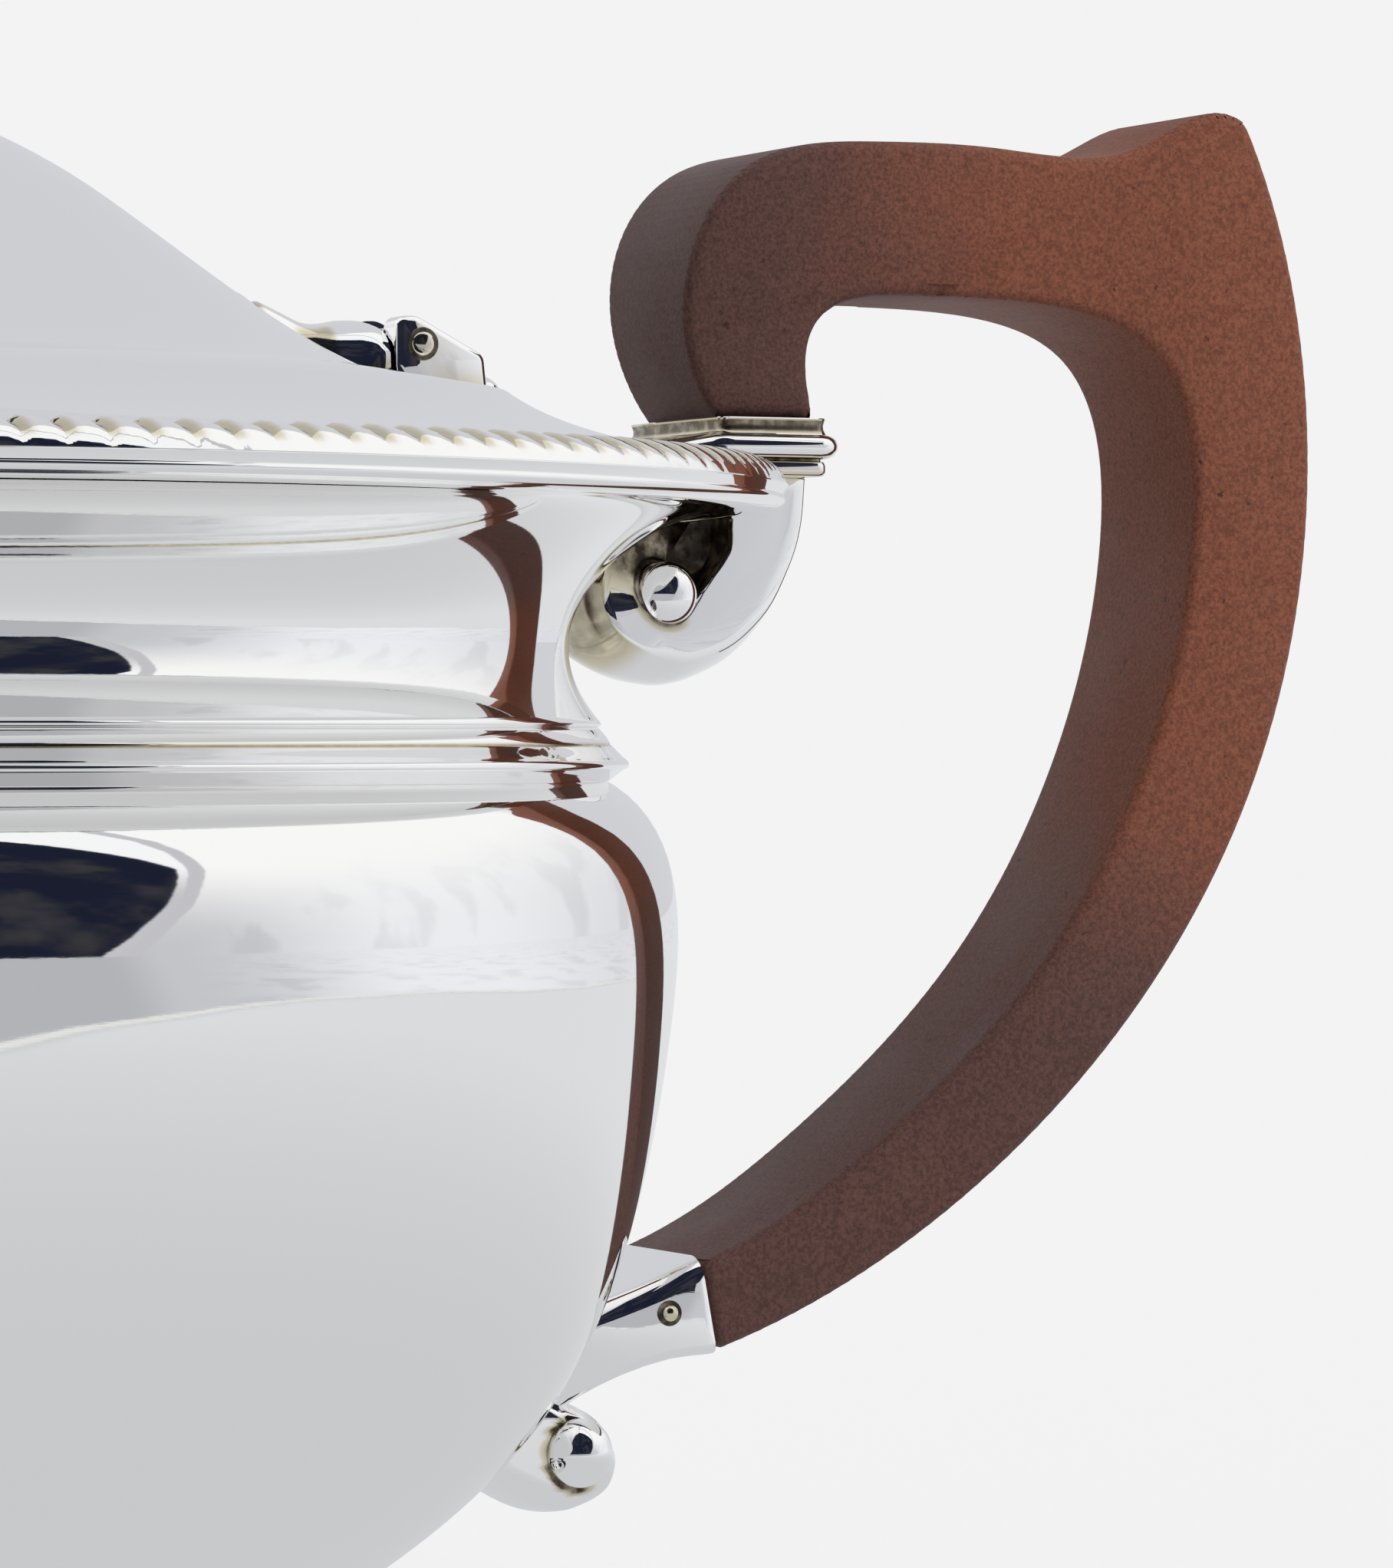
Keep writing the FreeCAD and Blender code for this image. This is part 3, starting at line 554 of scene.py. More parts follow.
@dataclass(frozen=True)
class Wood:
    """Matt hardwood, with painted light that makes it redder and lighter at the upper back of the grip and
    painted shade that darkens both ends, over cloudy tone and speckled with fine pores.
    """

    name: str = "oiled_wood"
    # light and dark are the lit and the shaded tone of the painted light; the cloudy noise also moves the
    # wood between them
    light: Triple = (0.213, 0.072, 0.041)
    dark: Triple = (0.1, 0.047, 0.039)
    pore: Triple = (0.035, 0.02, 0.018)

    def make(self) -> bpy.types.Material:
        """Build the material.

        Returns:
            The material.
        """
        material = bpy.data.materials.new(self.name)
        tree = Tree(material)
        place = tree.add("ShaderNodeTexCoord").outputs["Object"]
        parts = tree.add("ShaderNodeSeparateXYZ", {0: place}).outputs
        clouds = tree.noise(place, 45.0, 4.0, 0.6)
        # painted light and shade: lighter and redder at the upper back of the grip, darker low down and near
        # the pot
        painted_light = tree.math(
            "MULTIPLY", tree.span(parts["X"], 0.084, 0.116, 0.12, 1.0),
            tree.span(parts["Z"], 0.048, 0.1, 0.0, 1.0)
        )
        share = tree.math("ADD", painted_light, tree.math("MULTIPLY_ADD", clouds, 0.9, -0.45))
        tone = tree.mix(tree.span(share, 0.0, 1.0), (*self.dark, 1.0), (*self.light, 1.0))
        speckle = tree.noise(place, 3200.0, 3.0, 0.75)
        grain = tree.span(speckle, 0.3, 0.7, 0.62, 1.36)
        mottled = tree.add(
            "ShaderNodeMix", {0: 1.0, 6: tone, 7: grain}, data_type="RGBA", blend_type="MULTIPLY"
        ).outputs[2]
        pores = tree.span(tree.noise(place, 700.0, 2.0, 0.6), 0.70, 0.75, 0.0, 0.8)
        colour = tree.mix(pores, mottled, (*self.pore, 1.0))
        bump = tree.add("ShaderNodeBump", {"Strength": 0.35, "Distance": 0.00004, "Height": speckle})
        rough = tree.span(clouds, 0.3, 0.7, 0.5, 0.62)
        shader = tree.add(
            "ShaderNodeBsdfPrincipled",
            {
                "Base Color": colour, "Roughness": rough, "Specular IOR Level": 0.28,
                "Normal": bump.outputs[0],
            },
        )
        tree.add("ShaderNodeOutputMaterial", {0: shader.outputs[0]})
        return material


@dataclass(frozen=True)
class Steel:
    """Plain drawn steel of the hidden fasteners."""

    name: str = "drawn_steel"
    colour: Triple = (0.42, 0.41, 0.40)

    def make(self) -> bpy.types.Material:
        """Build the material.

        Returns:
            The material.
        """
        material = bpy.data.materials.new(self.name)
        tree = Tree(material)
        place = tree.add("ShaderNodeTexCoord").outputs["Object"]
        drawn = tree.add("ShaderNodeMapping", {"Vector": place, "Scale": (4000.0, 4000.0, 150.0)})
        lines = tree.noise(drawn.outputs[0], 1.0, 3.0)
        rough = tree.span(lines, 0.3, 0.7, 0.25, 0.42)
        shader = tree.add(
            "ShaderNodeBsdfPrincipled",
            {"Base Color": (*self.colour, 1.0), "Metallic": 1.0, "Roughness": rough},
        )
        tree.add("ShaderNodeOutputMaterial", {0: shader.outputs[0]})
        return material


@dataclass
class Dressing:
    """The finishes, and how a finished piece is handed to its body."""

    finishes: dict[Slot, bpy.types.Material] = field(default_factory=dict)

    def prepare(self) -> None:
        """Make every finish."""
        for slot, finish in ((Slot.SILVER, Silver()), (Slot.WOOD, Wood()), (Slot.STEEL, Steel())):
            self.finishes[slot] = finish.make()

    def keep(self, piece: bpy.types.Object, slot: Slot, body: Body, *nodes: str) -> bpy.types.Object:
        """Dress a piece and let it ride.

        Args:
            piece: The finished piece.
            slot: Its material slot.
            body: The body that carries it.
            nodes: Solids that it stands for.

        Returns:
            The piece.
        """
        piece.data.materials.clear()
        piece.data.materials.append(self.finishes[slot])
        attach(piece, body.value)
        if nodes:
            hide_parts(*nodes)
        LOG.info("%s: %d faces on %s", piece.name, len(piece.data.polygons), body.value)
        return piece

    def dress_nodes(self) -> None:
        """Give the carried-over solids the finish of their slot."""
        for part in frame["record"]["subparts"]:
            node = frame["nodes"][part["node"]]
            node.data.materials.clear()
            node.data.materials.append(self.finishes[Slot(part["material_slot"])])


@dataclass
class Bowl:
    """The raised bowl on its ring foot."""

    radius: float = 72.6
    height: float = 72.2
    foot: float = 11.0
    foot_radius: float = 46.0
    wall: float = 1.0
    hole: float = 1.6
    hole_sides: Triple = (-5.6, 0.0, 5.6)
    hole_rows: Triple = (48.4, 54.0, 59.6)
    poles: list[Pair] = field(default_factory=lambda: [
        (0.413, 0), (0.492, 0.017), (0.747, 0.159), (0.927, 0.367), (1.003, 0.72), (1.012, 0.956),
        (0.898, 1),
    ])

    def line(self, inset: float) -> list[Pair]:
        """Poles of the bowl's wall, set in by a thickness."""
        wide, tall, low = self.radius - inset, self.height - inset, self.foot + inset
        return [(wide * x, low + tall * z) for x, z in self.poles]

    def shell(self) -> bpy.types.Object:
        """Turn the bowl and pierce its strainer holes.

        Returns:
            The bowl.
        """
        outside = self.line(0.0)
        inside = self.line(self.wall)[::-1]
        outline = Outline([(0, self.foot)]).run(outside[0]).curve(outside[1:], 72)
        outline.run(inside[0]).curve(inside[1:], 48).run((0, self.foot + self.wall))
        bowl = Bench.turned("bowl", outline, 256)
        for across in self.hole_sides:
            for up in self.hole_rows:
                Bench.cut(bowl, Bench.peg((-self.radius + 2, across, up), self.hole, 14.0, (1, 0, 0)))
        return bowl

    def ring(self) -> bpy.types.Object:
        """Turn the ring foot.

        Returns:
            The foot.
        """
        wide, tall = self.foot_radius, self.foot
        outline = Outline([(wide * 0.52, tall)]).run((self.radius * 0.413, tall))
        outline.curve([(wide * 0.64, tall * 0.5), (wide * 0.86, tall * 0.62), (wide, tall * 0.3)], 20)
        outline.run((wide, 0), (wide * 0.9, 0))
        outline.curve([(wide * 0.78, tall * 0.3), (wide * 0.56, tall * 0.3), (wide * 0.52, tall)], 16)
        outline.points.pop()
        return Bench.turned("foot", outline, 192, True)

    def build(self, dressing: Dressing) -> None:
        """Build and dress the bowl and its foot."""
        dressing.keep(self.shell(), Slot.SILVER, Body.POT, "body_base", "body_shell", "body_top")
        dressing.keep(self.ring(), Slot.SILVER, Body.POT, "foot_ring")


@dataclass
class Neck:
    """The lip over the bowl and the hollow neck."""

    lip: float = 68.8
    waist: float = 64.0
    rim: float = 81.3
    low: float = 83.2
    mid: float = 86.4
    top: float = 103.4

    def band(self) -> bpy.types.Object:
        """Turn the lower lip, a flaring moulding that hangs over the bowl.

        Returns:
            The lip.
        """
        inner, edge, low = self.waist - 1.0, self.lip, self.low
        outline = Outline([(inner, low - 0.2)]).run((edge - 2.6, low - 0.55), (edge - 1.75, low - 0.9))
        outline.run((edge - 1.5, low - 0.82), (edge - 0.42, low + 0.04))
        outline.curve([
            (edge - 0.1, low + 0.12), (edge + 0.02, low + 0.4), (edge - 0.1, low + 0.72),
            (edge - 0.42, low + 0.92),
        ], 14)
        outline.curve([(edge - 0.75, low + 1.2), (edge - 1.1, low + 1.62), (edge - 1.4, low + 1.9)], 12)
        outline.run((edge - 1.5, low + 1.93), (edge - 1.5, low + 2.02))
        outline.curve([
            (edge - 1.62, low + 2.3), (edge - 1.95, low + 2.75), (edge - 2.25, low + 3.1),
            (edge - 2.5, low + 3.3),
        ], 12)
        outline.run((edge - 2.9, low + 3.36), (inner, low + 3.36))
        return Bench.turned("lower_lip", outline, 256, True)

    def band_stain(self, point: Vector) -> float:
        """Dirt in the crease of the lip."""
        return 0.6 * (1.0 - ease(abs(point.z - self.low - 1.97), 0.06, 0.25))

    def collar(self) -> bpy.types.Object:
        """Turn the hollow neck, with the rounded edge at its foot.

        Returns:
            The neck.
        """
        inner, foot, flange = self.waist - 1.0, self.lip - 2.2, self.rim - 3.7
        tall = self.top - self.mid
        outline = Outline([(inner, self.mid)]).run((foot - 0.5, self.mid + 0.06))
        outline.curve(
            [(foot - 0.15, self.mid + 0.1), (foot + 0.02, self.mid + 0.25), (foot - 0.02, self.mid + 0.44)],
            8,
        )
        outline.curve([
            (self.waist - 0.9, self.mid + tall * 0.26), (self.waist - 0.3, self.mid + tall * 0.72),
            (flange - 3.5, self.top + 0.6), (flange, self.top),
        ], 56)
        outline.run((flange, self.top + 1), (self.rim - 8.3, self.top + 1))
        outline.curve([
            (self.rim - 15.3, self.top + 0.1), (self.waist - 1.6, self.top - 5),
            (self.waist - 2, self.mid + 4.6), (inner, self.mid),
        ], 24)
        outline.points.pop()
        return Bench.turned("neck", outline, 256, True)

    def build(self, dressing: Dressing) -> None:
        """Build and dress the lip and the neck."""
        dressing.keep(Bench.stain(self.band(), self.band_stain), Slot.SILVER, Body.POT, "neck_band")
        dressing.keep(self.collar(), Slot.SILVER, Body.POT, "neck_collar")


@dataclass
class Rim:
    """The shoulder and the roped edge round it."""

    rim: float = 81.3
    under: float = 103.4
    top: float = 108.4
    seam: float = 114.2
    opening: float = 49.9
    ridge: float = 59.4
    fall: float = 0.166
    count: int = 163
    slant: float = 0.4

    def fascia(self) -> bpy.types.Object:
        """Turn the undercut edge below the lobes, with the bead under it.

        Returns:
            The edge.
        """
        wide, low = self.rim, self.under
        outline = Outline([(wide - 8.3, low + 1)])
        outline.run((wide - 3.7, low + 1), (wide - 3.7, low - 0.05), (wide - 1.8, low + 0.02))
        outline.curve([
            (wide - 1.0, low + 0.2), (wide - 0.5, low + 0.5), (wide - 0.26, low + 0.75),
            (wide - 0.28, low + 1.02), (wide - 0.46, low + 1.16),
        ], 20)
        outline.run((wide - 0.44, low + 1.24), (wide - 0.08, low + 1.9))
        outline.run(
            (wide - 0.3, low + 2.3), (wide - 1.4, low + 2.9), (wide - 3.4, low + 3.2),
            (wide - 8.3, low + 3.2),
        )
        return Bench.turned("rim_edge", outline, 256, True)

    def fascia_stain(self, point: Vector) -> float:
        """Dirt under the edge, where the scroll of the handle meets it."""
        near = 1.0 - ease(math.hypot(point.x - 77.5, point.y), 5.0, 6.5)
        return near * (1.0 - ease(point.z, self.under + 0.1, self.under + 0.5))

    def lobe_line(self, share: float) -> tuple[float, float, float]:
        """Follow a lobe from behind its crest to its outer edge.

        Args:
            share: Share of the way.

        Returns:
            Radius, height and groove depth there.
        """
        radius = follow(
            [(0, -5.0), (0.12, -4.4), (0.3, -3.2), (0.5, -2.0), (0.7, -1.0), (0.86, -0.4), (1, -0.06)],
            share,
        )
        height = follow([
            (0, -1.5), (0.12, -0.95), (0.3, -0.72), (0.5, -0.98), (0.7, -1.55), (0.86, -2.25), (1, -3.0),
        ], share)
        return self.rim + radius, self.top + height, 0.7 * (1.0 - ease(share, 0.32, 0.93))

    def lobes(self) -> bpy.types.Object:
        """Model one slanting lobe and copy it round the rim.

        Returns:
            The ring of lobes.
        """
        pitch = 2.0 * math.pi / self.count
        rows = []
        for share in (0.0, 0.14, 0.3, 0.45, 0.6, 0.75, 0.88, 1.0):
            radius, height, depth = self.lobe_line(share)
            lean = math.radians(10.0 + 55.0 * share)
            flank, back = 0.46 - 0.16 * share, 0.62 - 0.5 * ease(share, 0.2, 0.8)
            row = []
            for across in (0.0, 0.09, 0.2, 0.34, 0.5, 0.66, 0.82, 0.94, 1.0):
                sunk = depth * max(1.0 - ease(across, 0.0, flank), ease(across, 1.0 - back, 1.0))
                angle = pitch * (across + self.slant * share)
                reach = radius - sunk * math.sin(lean)
                row.append(
                    (reach * math.cos(angle), reach * math.sin(angle), height - sunk * math.cos(lean))
                )
            rows.append(row)
        tuck = (self.rim - 0.6) / (self.rim - 0.06)
        rows.append([(tuck * x, tuck * y, self.under + 1.7) for x, y, _ in rows[-1]])
        ring = Bench.sheet("lobes", rows, 60.0)
        bpy.ops.object.mode_set(mode="EDIT")
        bpy.ops.mesh.select_all(action="SELECT")
        bpy.ops.mesh.spin(
            steps=self.count - 1, dupli=True, angle=2.0 * math.pi - pitch, center=(0, 0, 0), axis=(0, 0, 1)
        )
        Bench.clean()
        return Bench.smooth(ring, 70.0)

    def lobe_stain(self, point: Vector) -> float:
        """Yellow film on the flank of each lobe, and dirt at the top of the groove.

        Args:
            point: A point in millimetres.

        Returns:
            How tarnished it is, from 0 to 1.
        """
        share = follow(
            [(-5.4, 0), (-4.4, 0.12), (-3.2, 0.3), (-2.0, 0.5), (-1.0, 0.7), (-0.4, 0.86), (-0.06, 1)],
            math.hypot(point.x, point.y) - self.rim,
        )
        turns = math.atan2(point.y, point.x) / (2.0 * math.pi) * self.count
        across = (turns - self.slant * share) % 1.0
        across = 0.0 if across > 0.985 else across
        flank = 0.5 * (1.0 - ease(across, 0.16, 0.48)) * (1.0 - ease(share, 0.72, 0.93))
        corner = 0.45 * (1.0 - ease(across, 0.0, 0.12)) * (1.0 - ease(share, 0.4, 0.75))
        return flank + corner

    def shoulder(self) -> bpy.types.Object:
        """Turn the shoulder between the rim and the lid.

        Returns:
            The shoulder.
        """
        edge = self.rim - 4.3
        crest = self.seam - self.fall * (self.ridge - self.opening)
        outline = Outline([(edge, self.top - 1.3)])
        outline.curve(
            [(edge - 4.5, self.top - 0.4), (self.ridge + 5.1, self.top + 0.6), (self.ridge, crest)], 32
        )
        outline.run((self.opening, self.seam), (self.opening, self.seam - 1), (self.ridge, crest - 1))
        outline.curve([
            (self.ridge + 4, self.top - 0.6), (edge - 7, self.top - 1.3), (self.rim - 8.3, self.top - 1.9),
        ], 16)
        outline.run((edge, self.top - 2.3))
        return Bench.turned("shoulder", outline, 256, True)

    def build(self, dressing: Dressing) -> None:
        """Build and dress the rim and the shoulder.

        Args:
            dressing: The finishes.
        """
        dressing.keep(Bench.stain(self.fascia(), self.fascia_stain), Slot.SILVER, Body.POT, "gadroon_rim")
        dressing.keep(Bench.stain(self.lobes(), self.lobe_stain), Slot.SILVER, Body.POT, "gadroon_rim")
        dressing.keep(self.shoulder(), Slot.SILVER, Body.POT, "shoulder_plate")


@dataclass
class Lid:
    """The conical lid and its finial."""

    radius: float = 49.6
    seam: float = 114.2
    rise: float = 23.6
    knob: float = 8.5
    vent: float = 1.2
    vent_at: float = -28.0
    poles: list[Pair] = field(default_factory=lambda: [
        (1, 0), (0.925, 0.05), (0.79, 0.226), (0.62, 0.5), (0.405, 0.82), (0.121, 1),
    ])

    def dome(self) -> bpy.types.Object:
        """Turn the lid and drill its vent.

        Returns:
            The lid.
        """
        outside = [(self.radius * x, self.seam + self.rise * z) for x, z in self.poles]
        inside = [((self.radius - 1.7) * x, self.seam - 1 + self.rise * z) for x, z in self.poles][::-1]
        crown = self.seam + self.rise
        outline = Outline([(self.radius, self.seam - 1)]).run(outside[0]).curve(outside[1:], 48)
        outline.run((2.1, crown), (2.1, crown - 1), inside[0]).curve(inside[1:], 32)
        lid = Bench.turned("lid", outline, 256, True)
        return Bench.cut(lid, Bench.peg((self.vent_at, 0, crown - 8), self.vent, 20.0, (0, 0, 1)))

    def finial(self) -> tuple[bpy.types.Object, bpy.types.Object, bpy.types.Object]:
        """Turn the base, the wooden knob and the cap of the finial.

        Returns:
            The three pieces, from the lid up.
        """
        wide, low = self.knob, self.seam + self.rise
        high, tip = low + 3.0, low + 19.0
        base = Outline([(2.1, low)]).run((wide * 0.68, low))
        base.curve([
            (wide * 0.8, low + 0.2), (wide * 0.8, low + 1.4), (wide * 0.5, high - 1.2), (wide * 0.55, high),
        ], 20).run((2.1, high))
        knob = Outline([(2.1, high)]).run((wide * 0.5, high))
        knob.curve([
            (wide * 0.55, high + 4.0), (wide * 1.25, high + 5.6), (wide * 1.2, high + 12.8),
            (wide * 0.5, tip),
        ], 40).run((2.1, tip))
        cap = Outline([(2.05, tip)]).run((wide * 0.46, tip))
        cap.curve([(wide * 0.55, tip + 1.4), (wide * 0.3, tip + 4.0), (0.0, tip + 4.0)], 20)
        cap.run((0.0, tip + 2.0), (2.05, tip + 2.0))
        return (
            Bench.turned("finial_foot", base, 96, True),
            Bench.turned("finial_wood", knob, 128, True),
            Bench.turned("finial_button", cap, 96, True),
        )

    def build(self, dressing: Dressing) -> None:
        """Build and dress the lid and its finial.

        Args:
            dressing: The finishes.
        """
        dressing.keep(self.dome(), Slot.SILVER, Body.LID, "lid_dome")
        base, knob, cap = self.finial()
        dressing.keep(base, Slot.SILVER, Body.LID, "finial_base")
        dressing.keep(knob, Slot.WOOD, Body.LID, "finial_knob")
        dressing.keep(cap, Slot.SILVER, Body.LID, "finial_cap")


@dataclass
class Handle:
    """The wooden handle."""

    root: Pair = (77.3, 112.0)
    reach: float = 58.0
    rise: float = 103.0
    thickness: float = 17.8
    edge: float = 1.0
    nose: list[Pair] = field(default_factory=lambda: [
        (0.053, 0), (0.012, 0.029), (-0.031, 0.107), (0.075, 0.221), (0.308, 0.225),
        (0.492, 0.226), (0.72, 0.206), (0.837, 0.274), (0.896, 0.252),
    ])
    back: list[Pair] = field(default_factory=lambda: [
        (1.0, 0.132), (1.055, -0.17), (0.706, -0.538), (0.264, -0.7032), (0.0379, -0.744),
    ])
    grip: list[Pair] = field(default_factory=lambda: [
        (0.1224, -0.6518), (0.304, -0.582), (0.561, -0.454), (0.731, -0.292), (0.824, -0.11),
        (0.807, 0.099), (0.369, 0.101), (0.159, 0.103), (0.203, 0.011),
    ])

    def at(self, points: list[Pair]) -> list[Pair]:
        """Turn shares of reach and rise into millimetres."""
        return [(self.root[0] + self.reach * x, self.root[1] + self.rise * z) for x, z in points]

    def slab(self) -> bpy.types.Object:
        """Saw the handle out of its slab, round its edges and thin it towards the plate.

        Returns:
            The handle.
        """
        nose, back, grip = self.at(self.nose), self.at(self.back), self.at(self.grip)
        joint = back[-1]
        outline = Outline([nose[0]]).curve(nose[1:], 72).curve(back, 72)
        outline.run((joint[0] - 1.314, joint[1] + 7.3)).curve(grip, 90).run(*self.at([(0.203, 0)]))
        wood = Bench.slab("wooden_handle", outline, self.thickness, self.edge)
        for point in wood.data.vertices:
            if point.co.x / MM < self.root[0] + 0.4 * self.reach and point.co.z / MM > self.root[1] - 10.0:
                point.co.y *= 1.0 - 0.2 * (1.0 - ease(point.co.z / MM, self.root[1], self.root[1] + 19.0))
        return wood

    def build(self, dressing: Dressing) -> None:
        """Build and dress the handle."""
        dressing.keep(self.slab(), Slot.WOOD, Body.POT, "handle")


@dataclass
class Scroll:
    """A rolled casting, drawn as its height over each ray from the eye."""

    name: str
    eye: Pair
    taper: float = 0.0

    def rays(self) -> list[float]:
        """Angles of the rays in degrees, all the way round."""
        return [4.0 * step for step in range(91)]

    def section(self, angle: float) -> tuple[list[Pair], float]:
        """Distance and half width of points out to the edge, and the swell of the roll between its edges."""
        raise NotImplementedError

    def make(self) -> bpy.types.Object:
        """Lay the rays round the eye, front and back alike.

        Returns:
            The roll.
        """
        rows = []
        for angle in self.rays():
            east, up = math.cos(math.radians(angle)), math.sin(math.radians(angle))
            front, swell = self.section(angle)
            reach, wide = front[-1]
            line = [(r, -y) for r, y in front]
            for step in range(1, 10):
                share = 1.0 - step / 5.0
                line.append((reach + swell * (1.0 - share * share), -wide * share))
            line.extend((r, y) for r, y in reversed(front))
            rows.append([
                (self.eye[0] + r * east, y * (1.0 - self.taper * r * east), self.eye[1] + r * up)
                for r, y in line
            ])
        rows[-1] = rows[0]
        return Bench.sheet(self.name, rows)

    def polar(self, point: Vector) -> Pair:
        """Angle in degrees and distance of a point from the eye."""
        x, z = point.x - self.eye[0], point.z - self.eye[1]
        return math.degrees(math.atan2(z, x)) % 360.0, math.hypot(x, z)


@dataclass
class UpperScroll(Scroll):
    """The scroll under the rim: its ribbon winds in to the eye and sinks into a dark hollow."""

    name: str = "upper_curl"
    eye: Pair = (76.3, 97.5)
    taper: float = 0.014
    half: float = 6.3
    top: float = 107.3
    stem: float = 82.2
    outer: list[Pair] = field(default_factory=lambda: [
        (-96, 5.43), (-73, 5.96), (-53, 6.5), (-35, 7.46), (-19, 8.57), (-6.5, 9.76), (7.6, 11.3),
        (19.5, 13.16), (31.3, 15.2), (36.5, 16.3), (46, 18.6),
    ])
    inner: list[Pair] = field(default_factory=lambda: [
        (58, 7.9), (66, 7.1), (74, 6.44), (89, 5.6), (108, 5.15), (133, 5.2), (155, 5.86), (169, 6.1),
        (184, 6.2), (200, 6.1), (217, 5.8), (239, 5.4), (264, 5.43), (287, 5.96), (307, 6.5),
    ])
    hollow: list[Pair] = field(default_factory=lambda: [
        (-120, 2.5), (-73, 2.5), (-25, 2.55), (0, 2.95), (10, 3.5), (20, 4.37), (27.9, 5.77), (33, 6.8),
        (44, 8.07), (46.9, 8.6),
    ])

    def rays(self) -> list[float]:
        """Spread the rays from under the eye, closer together at the hollow.

        Returns:
            Their angles in degrees.
        """
        under = [-73.0 + 5.0 * step for step in range(17)]
        close = [12.0 + 1.75 * step for step in range(14)] + [36.5 + 2.5 * step for step in range(12)]
        return under + close + [66.0 + 4.42 * step for step in range(51)]

    def levels(self, angle: float) -> tuple[float, float, float, float]:
        """Measure the scroll along one ray.

        Args:
            angle: Angle of the ray in degrees.

        Returns:
            Reach of the edge, half width of the ribbon, reach of the hollow and its half width.
        """
        if angle <= 64.2:
            reach = follow(self.outer, angle)
            if angle > 25.0:
                reach = min(reach, (self.top - self.eye[1]) / math.sin(math.radians(angle)))
            inside = follow(self.hollow, angle)
            if angle > 46.9:
                inside = (self.stem - self.eye[0]) / math.cos(math.radians(angle))
            floor = follow(
                [(-73, 6.1), (-14, 6.05), (0, 5.7), (8, 5.1), (20, 3.4), (30, 2.7), (46, 2.4), (64, 2.3)],
                angle,
            )
            return reach, self.half, min(inside, reach - 0.6), floor
        high = follow(
            [(50, 2.8), (64, 2.9), (90, 3.3), (120, 4.1), (150, 5.2), (180, 6.0), (205, 6.3), (290, 6.3)],
            angle,
        )
        inside = follow([(64, 2.95), (170, 2.95), (225, 2.5), (287, 2.5)], angle)
        floor = high - follow([(64, 0.5), (150, 0.4), (220, 0.2), (287, 0.15)], angle)
        return follow(self.inner, angle), high, inside, floor

    def section(self, angle: float) -> tuple[list[Pair], float]:
        """Set out one ray, over the hollow and the ribbon.

        Args:
            angle: Angle of the ray in degrees.

        Returns:
            Distance and half width of its points, and the swell of the roll between its edges.
        """
        reach, high, inside, floor = self.levels(angle)
        drop = high - floor
        line = [
            (0.0, floor - 0.2), (1.6, floor), (0.5 * (1.6 + inside - 0.25), floor), (inside - 0.25, floor)
        ]
        line += [
            (inside - 0.08, floor + 0.1 * drop), (inside, floor + 0.55 * drop),
            (inside + 0.05, high - 0.2 * drop),
        ]
        line += [(inside + 0.12, high - 0.05 * drop), (inside + 0.2, high - 0.01)]
        start, stop = inside + 0.28, reach - 0.3
        crown = 0.24 * (1.0 - ease(-math.cos(math.radians(angle)), 0.0, 0.5))
        for share in (0.0, 0.06, 0.2, 0.4, 0.6, 0.8, 1.0):
            line.append((start + (stop - start) * share, high - crown * share * share))
        line += [(reach - 0.1, high - crown - 0.08), (reach, high - 0.5)]
        swell = follow([
            (-73, 1.8), (-35, 1.7), (-6, 1.3), (19, 0.9), (36, 0.2), (45, 0), (64, 0), (90, 0.8), (133, 1.4),
            (184, 1.8), (239, 1.9), (287, 1.8),
        ], angle)
        return line, swell

    def tarnish(self, point: Vector) -> float:
        """Dark hollow and ramp, and a dirty ring round the eye.

        Args:
            point: A point in millimetres.

        Returns:
            How tarnished it is, from 0 to 1.
        """
        angle, radius = self.polar(point)
        angle = angle if angle < 287.0 else angle - 360.0
        reach, high, inside, _ = self.levels(angle)
        depth = high - abs(point.y) / (1.0 - self.taper * (point.x - self.eye[0]))
        if radius < reach - 0.2:
            dark = ease(depth, 0.15, 0.8)
            if angle > 64.0:
                dark = max(dark, 0.9 * (1.0 - ease(angle, 135.0, 205.0)))
            ring = ease(angle, 95.0, 140.0) if angle > 64.0 else 1.0 - ease(angle, -73.0, -35.0)
            return max(
                dark * max(ring, ease(angle, -8.0, 8.0)),
                0.8 * ring * (1.0 - ease(abs(radius - inside), 0.0, 1.0)),
            )
        side = 0.6 * ease(angle, 140.0, 175.0) * (1.0 - ease(angle, 215.0, 260.0))
        return max(side, 0.7 * ease(point.z, self.top - 1.2, self.top))


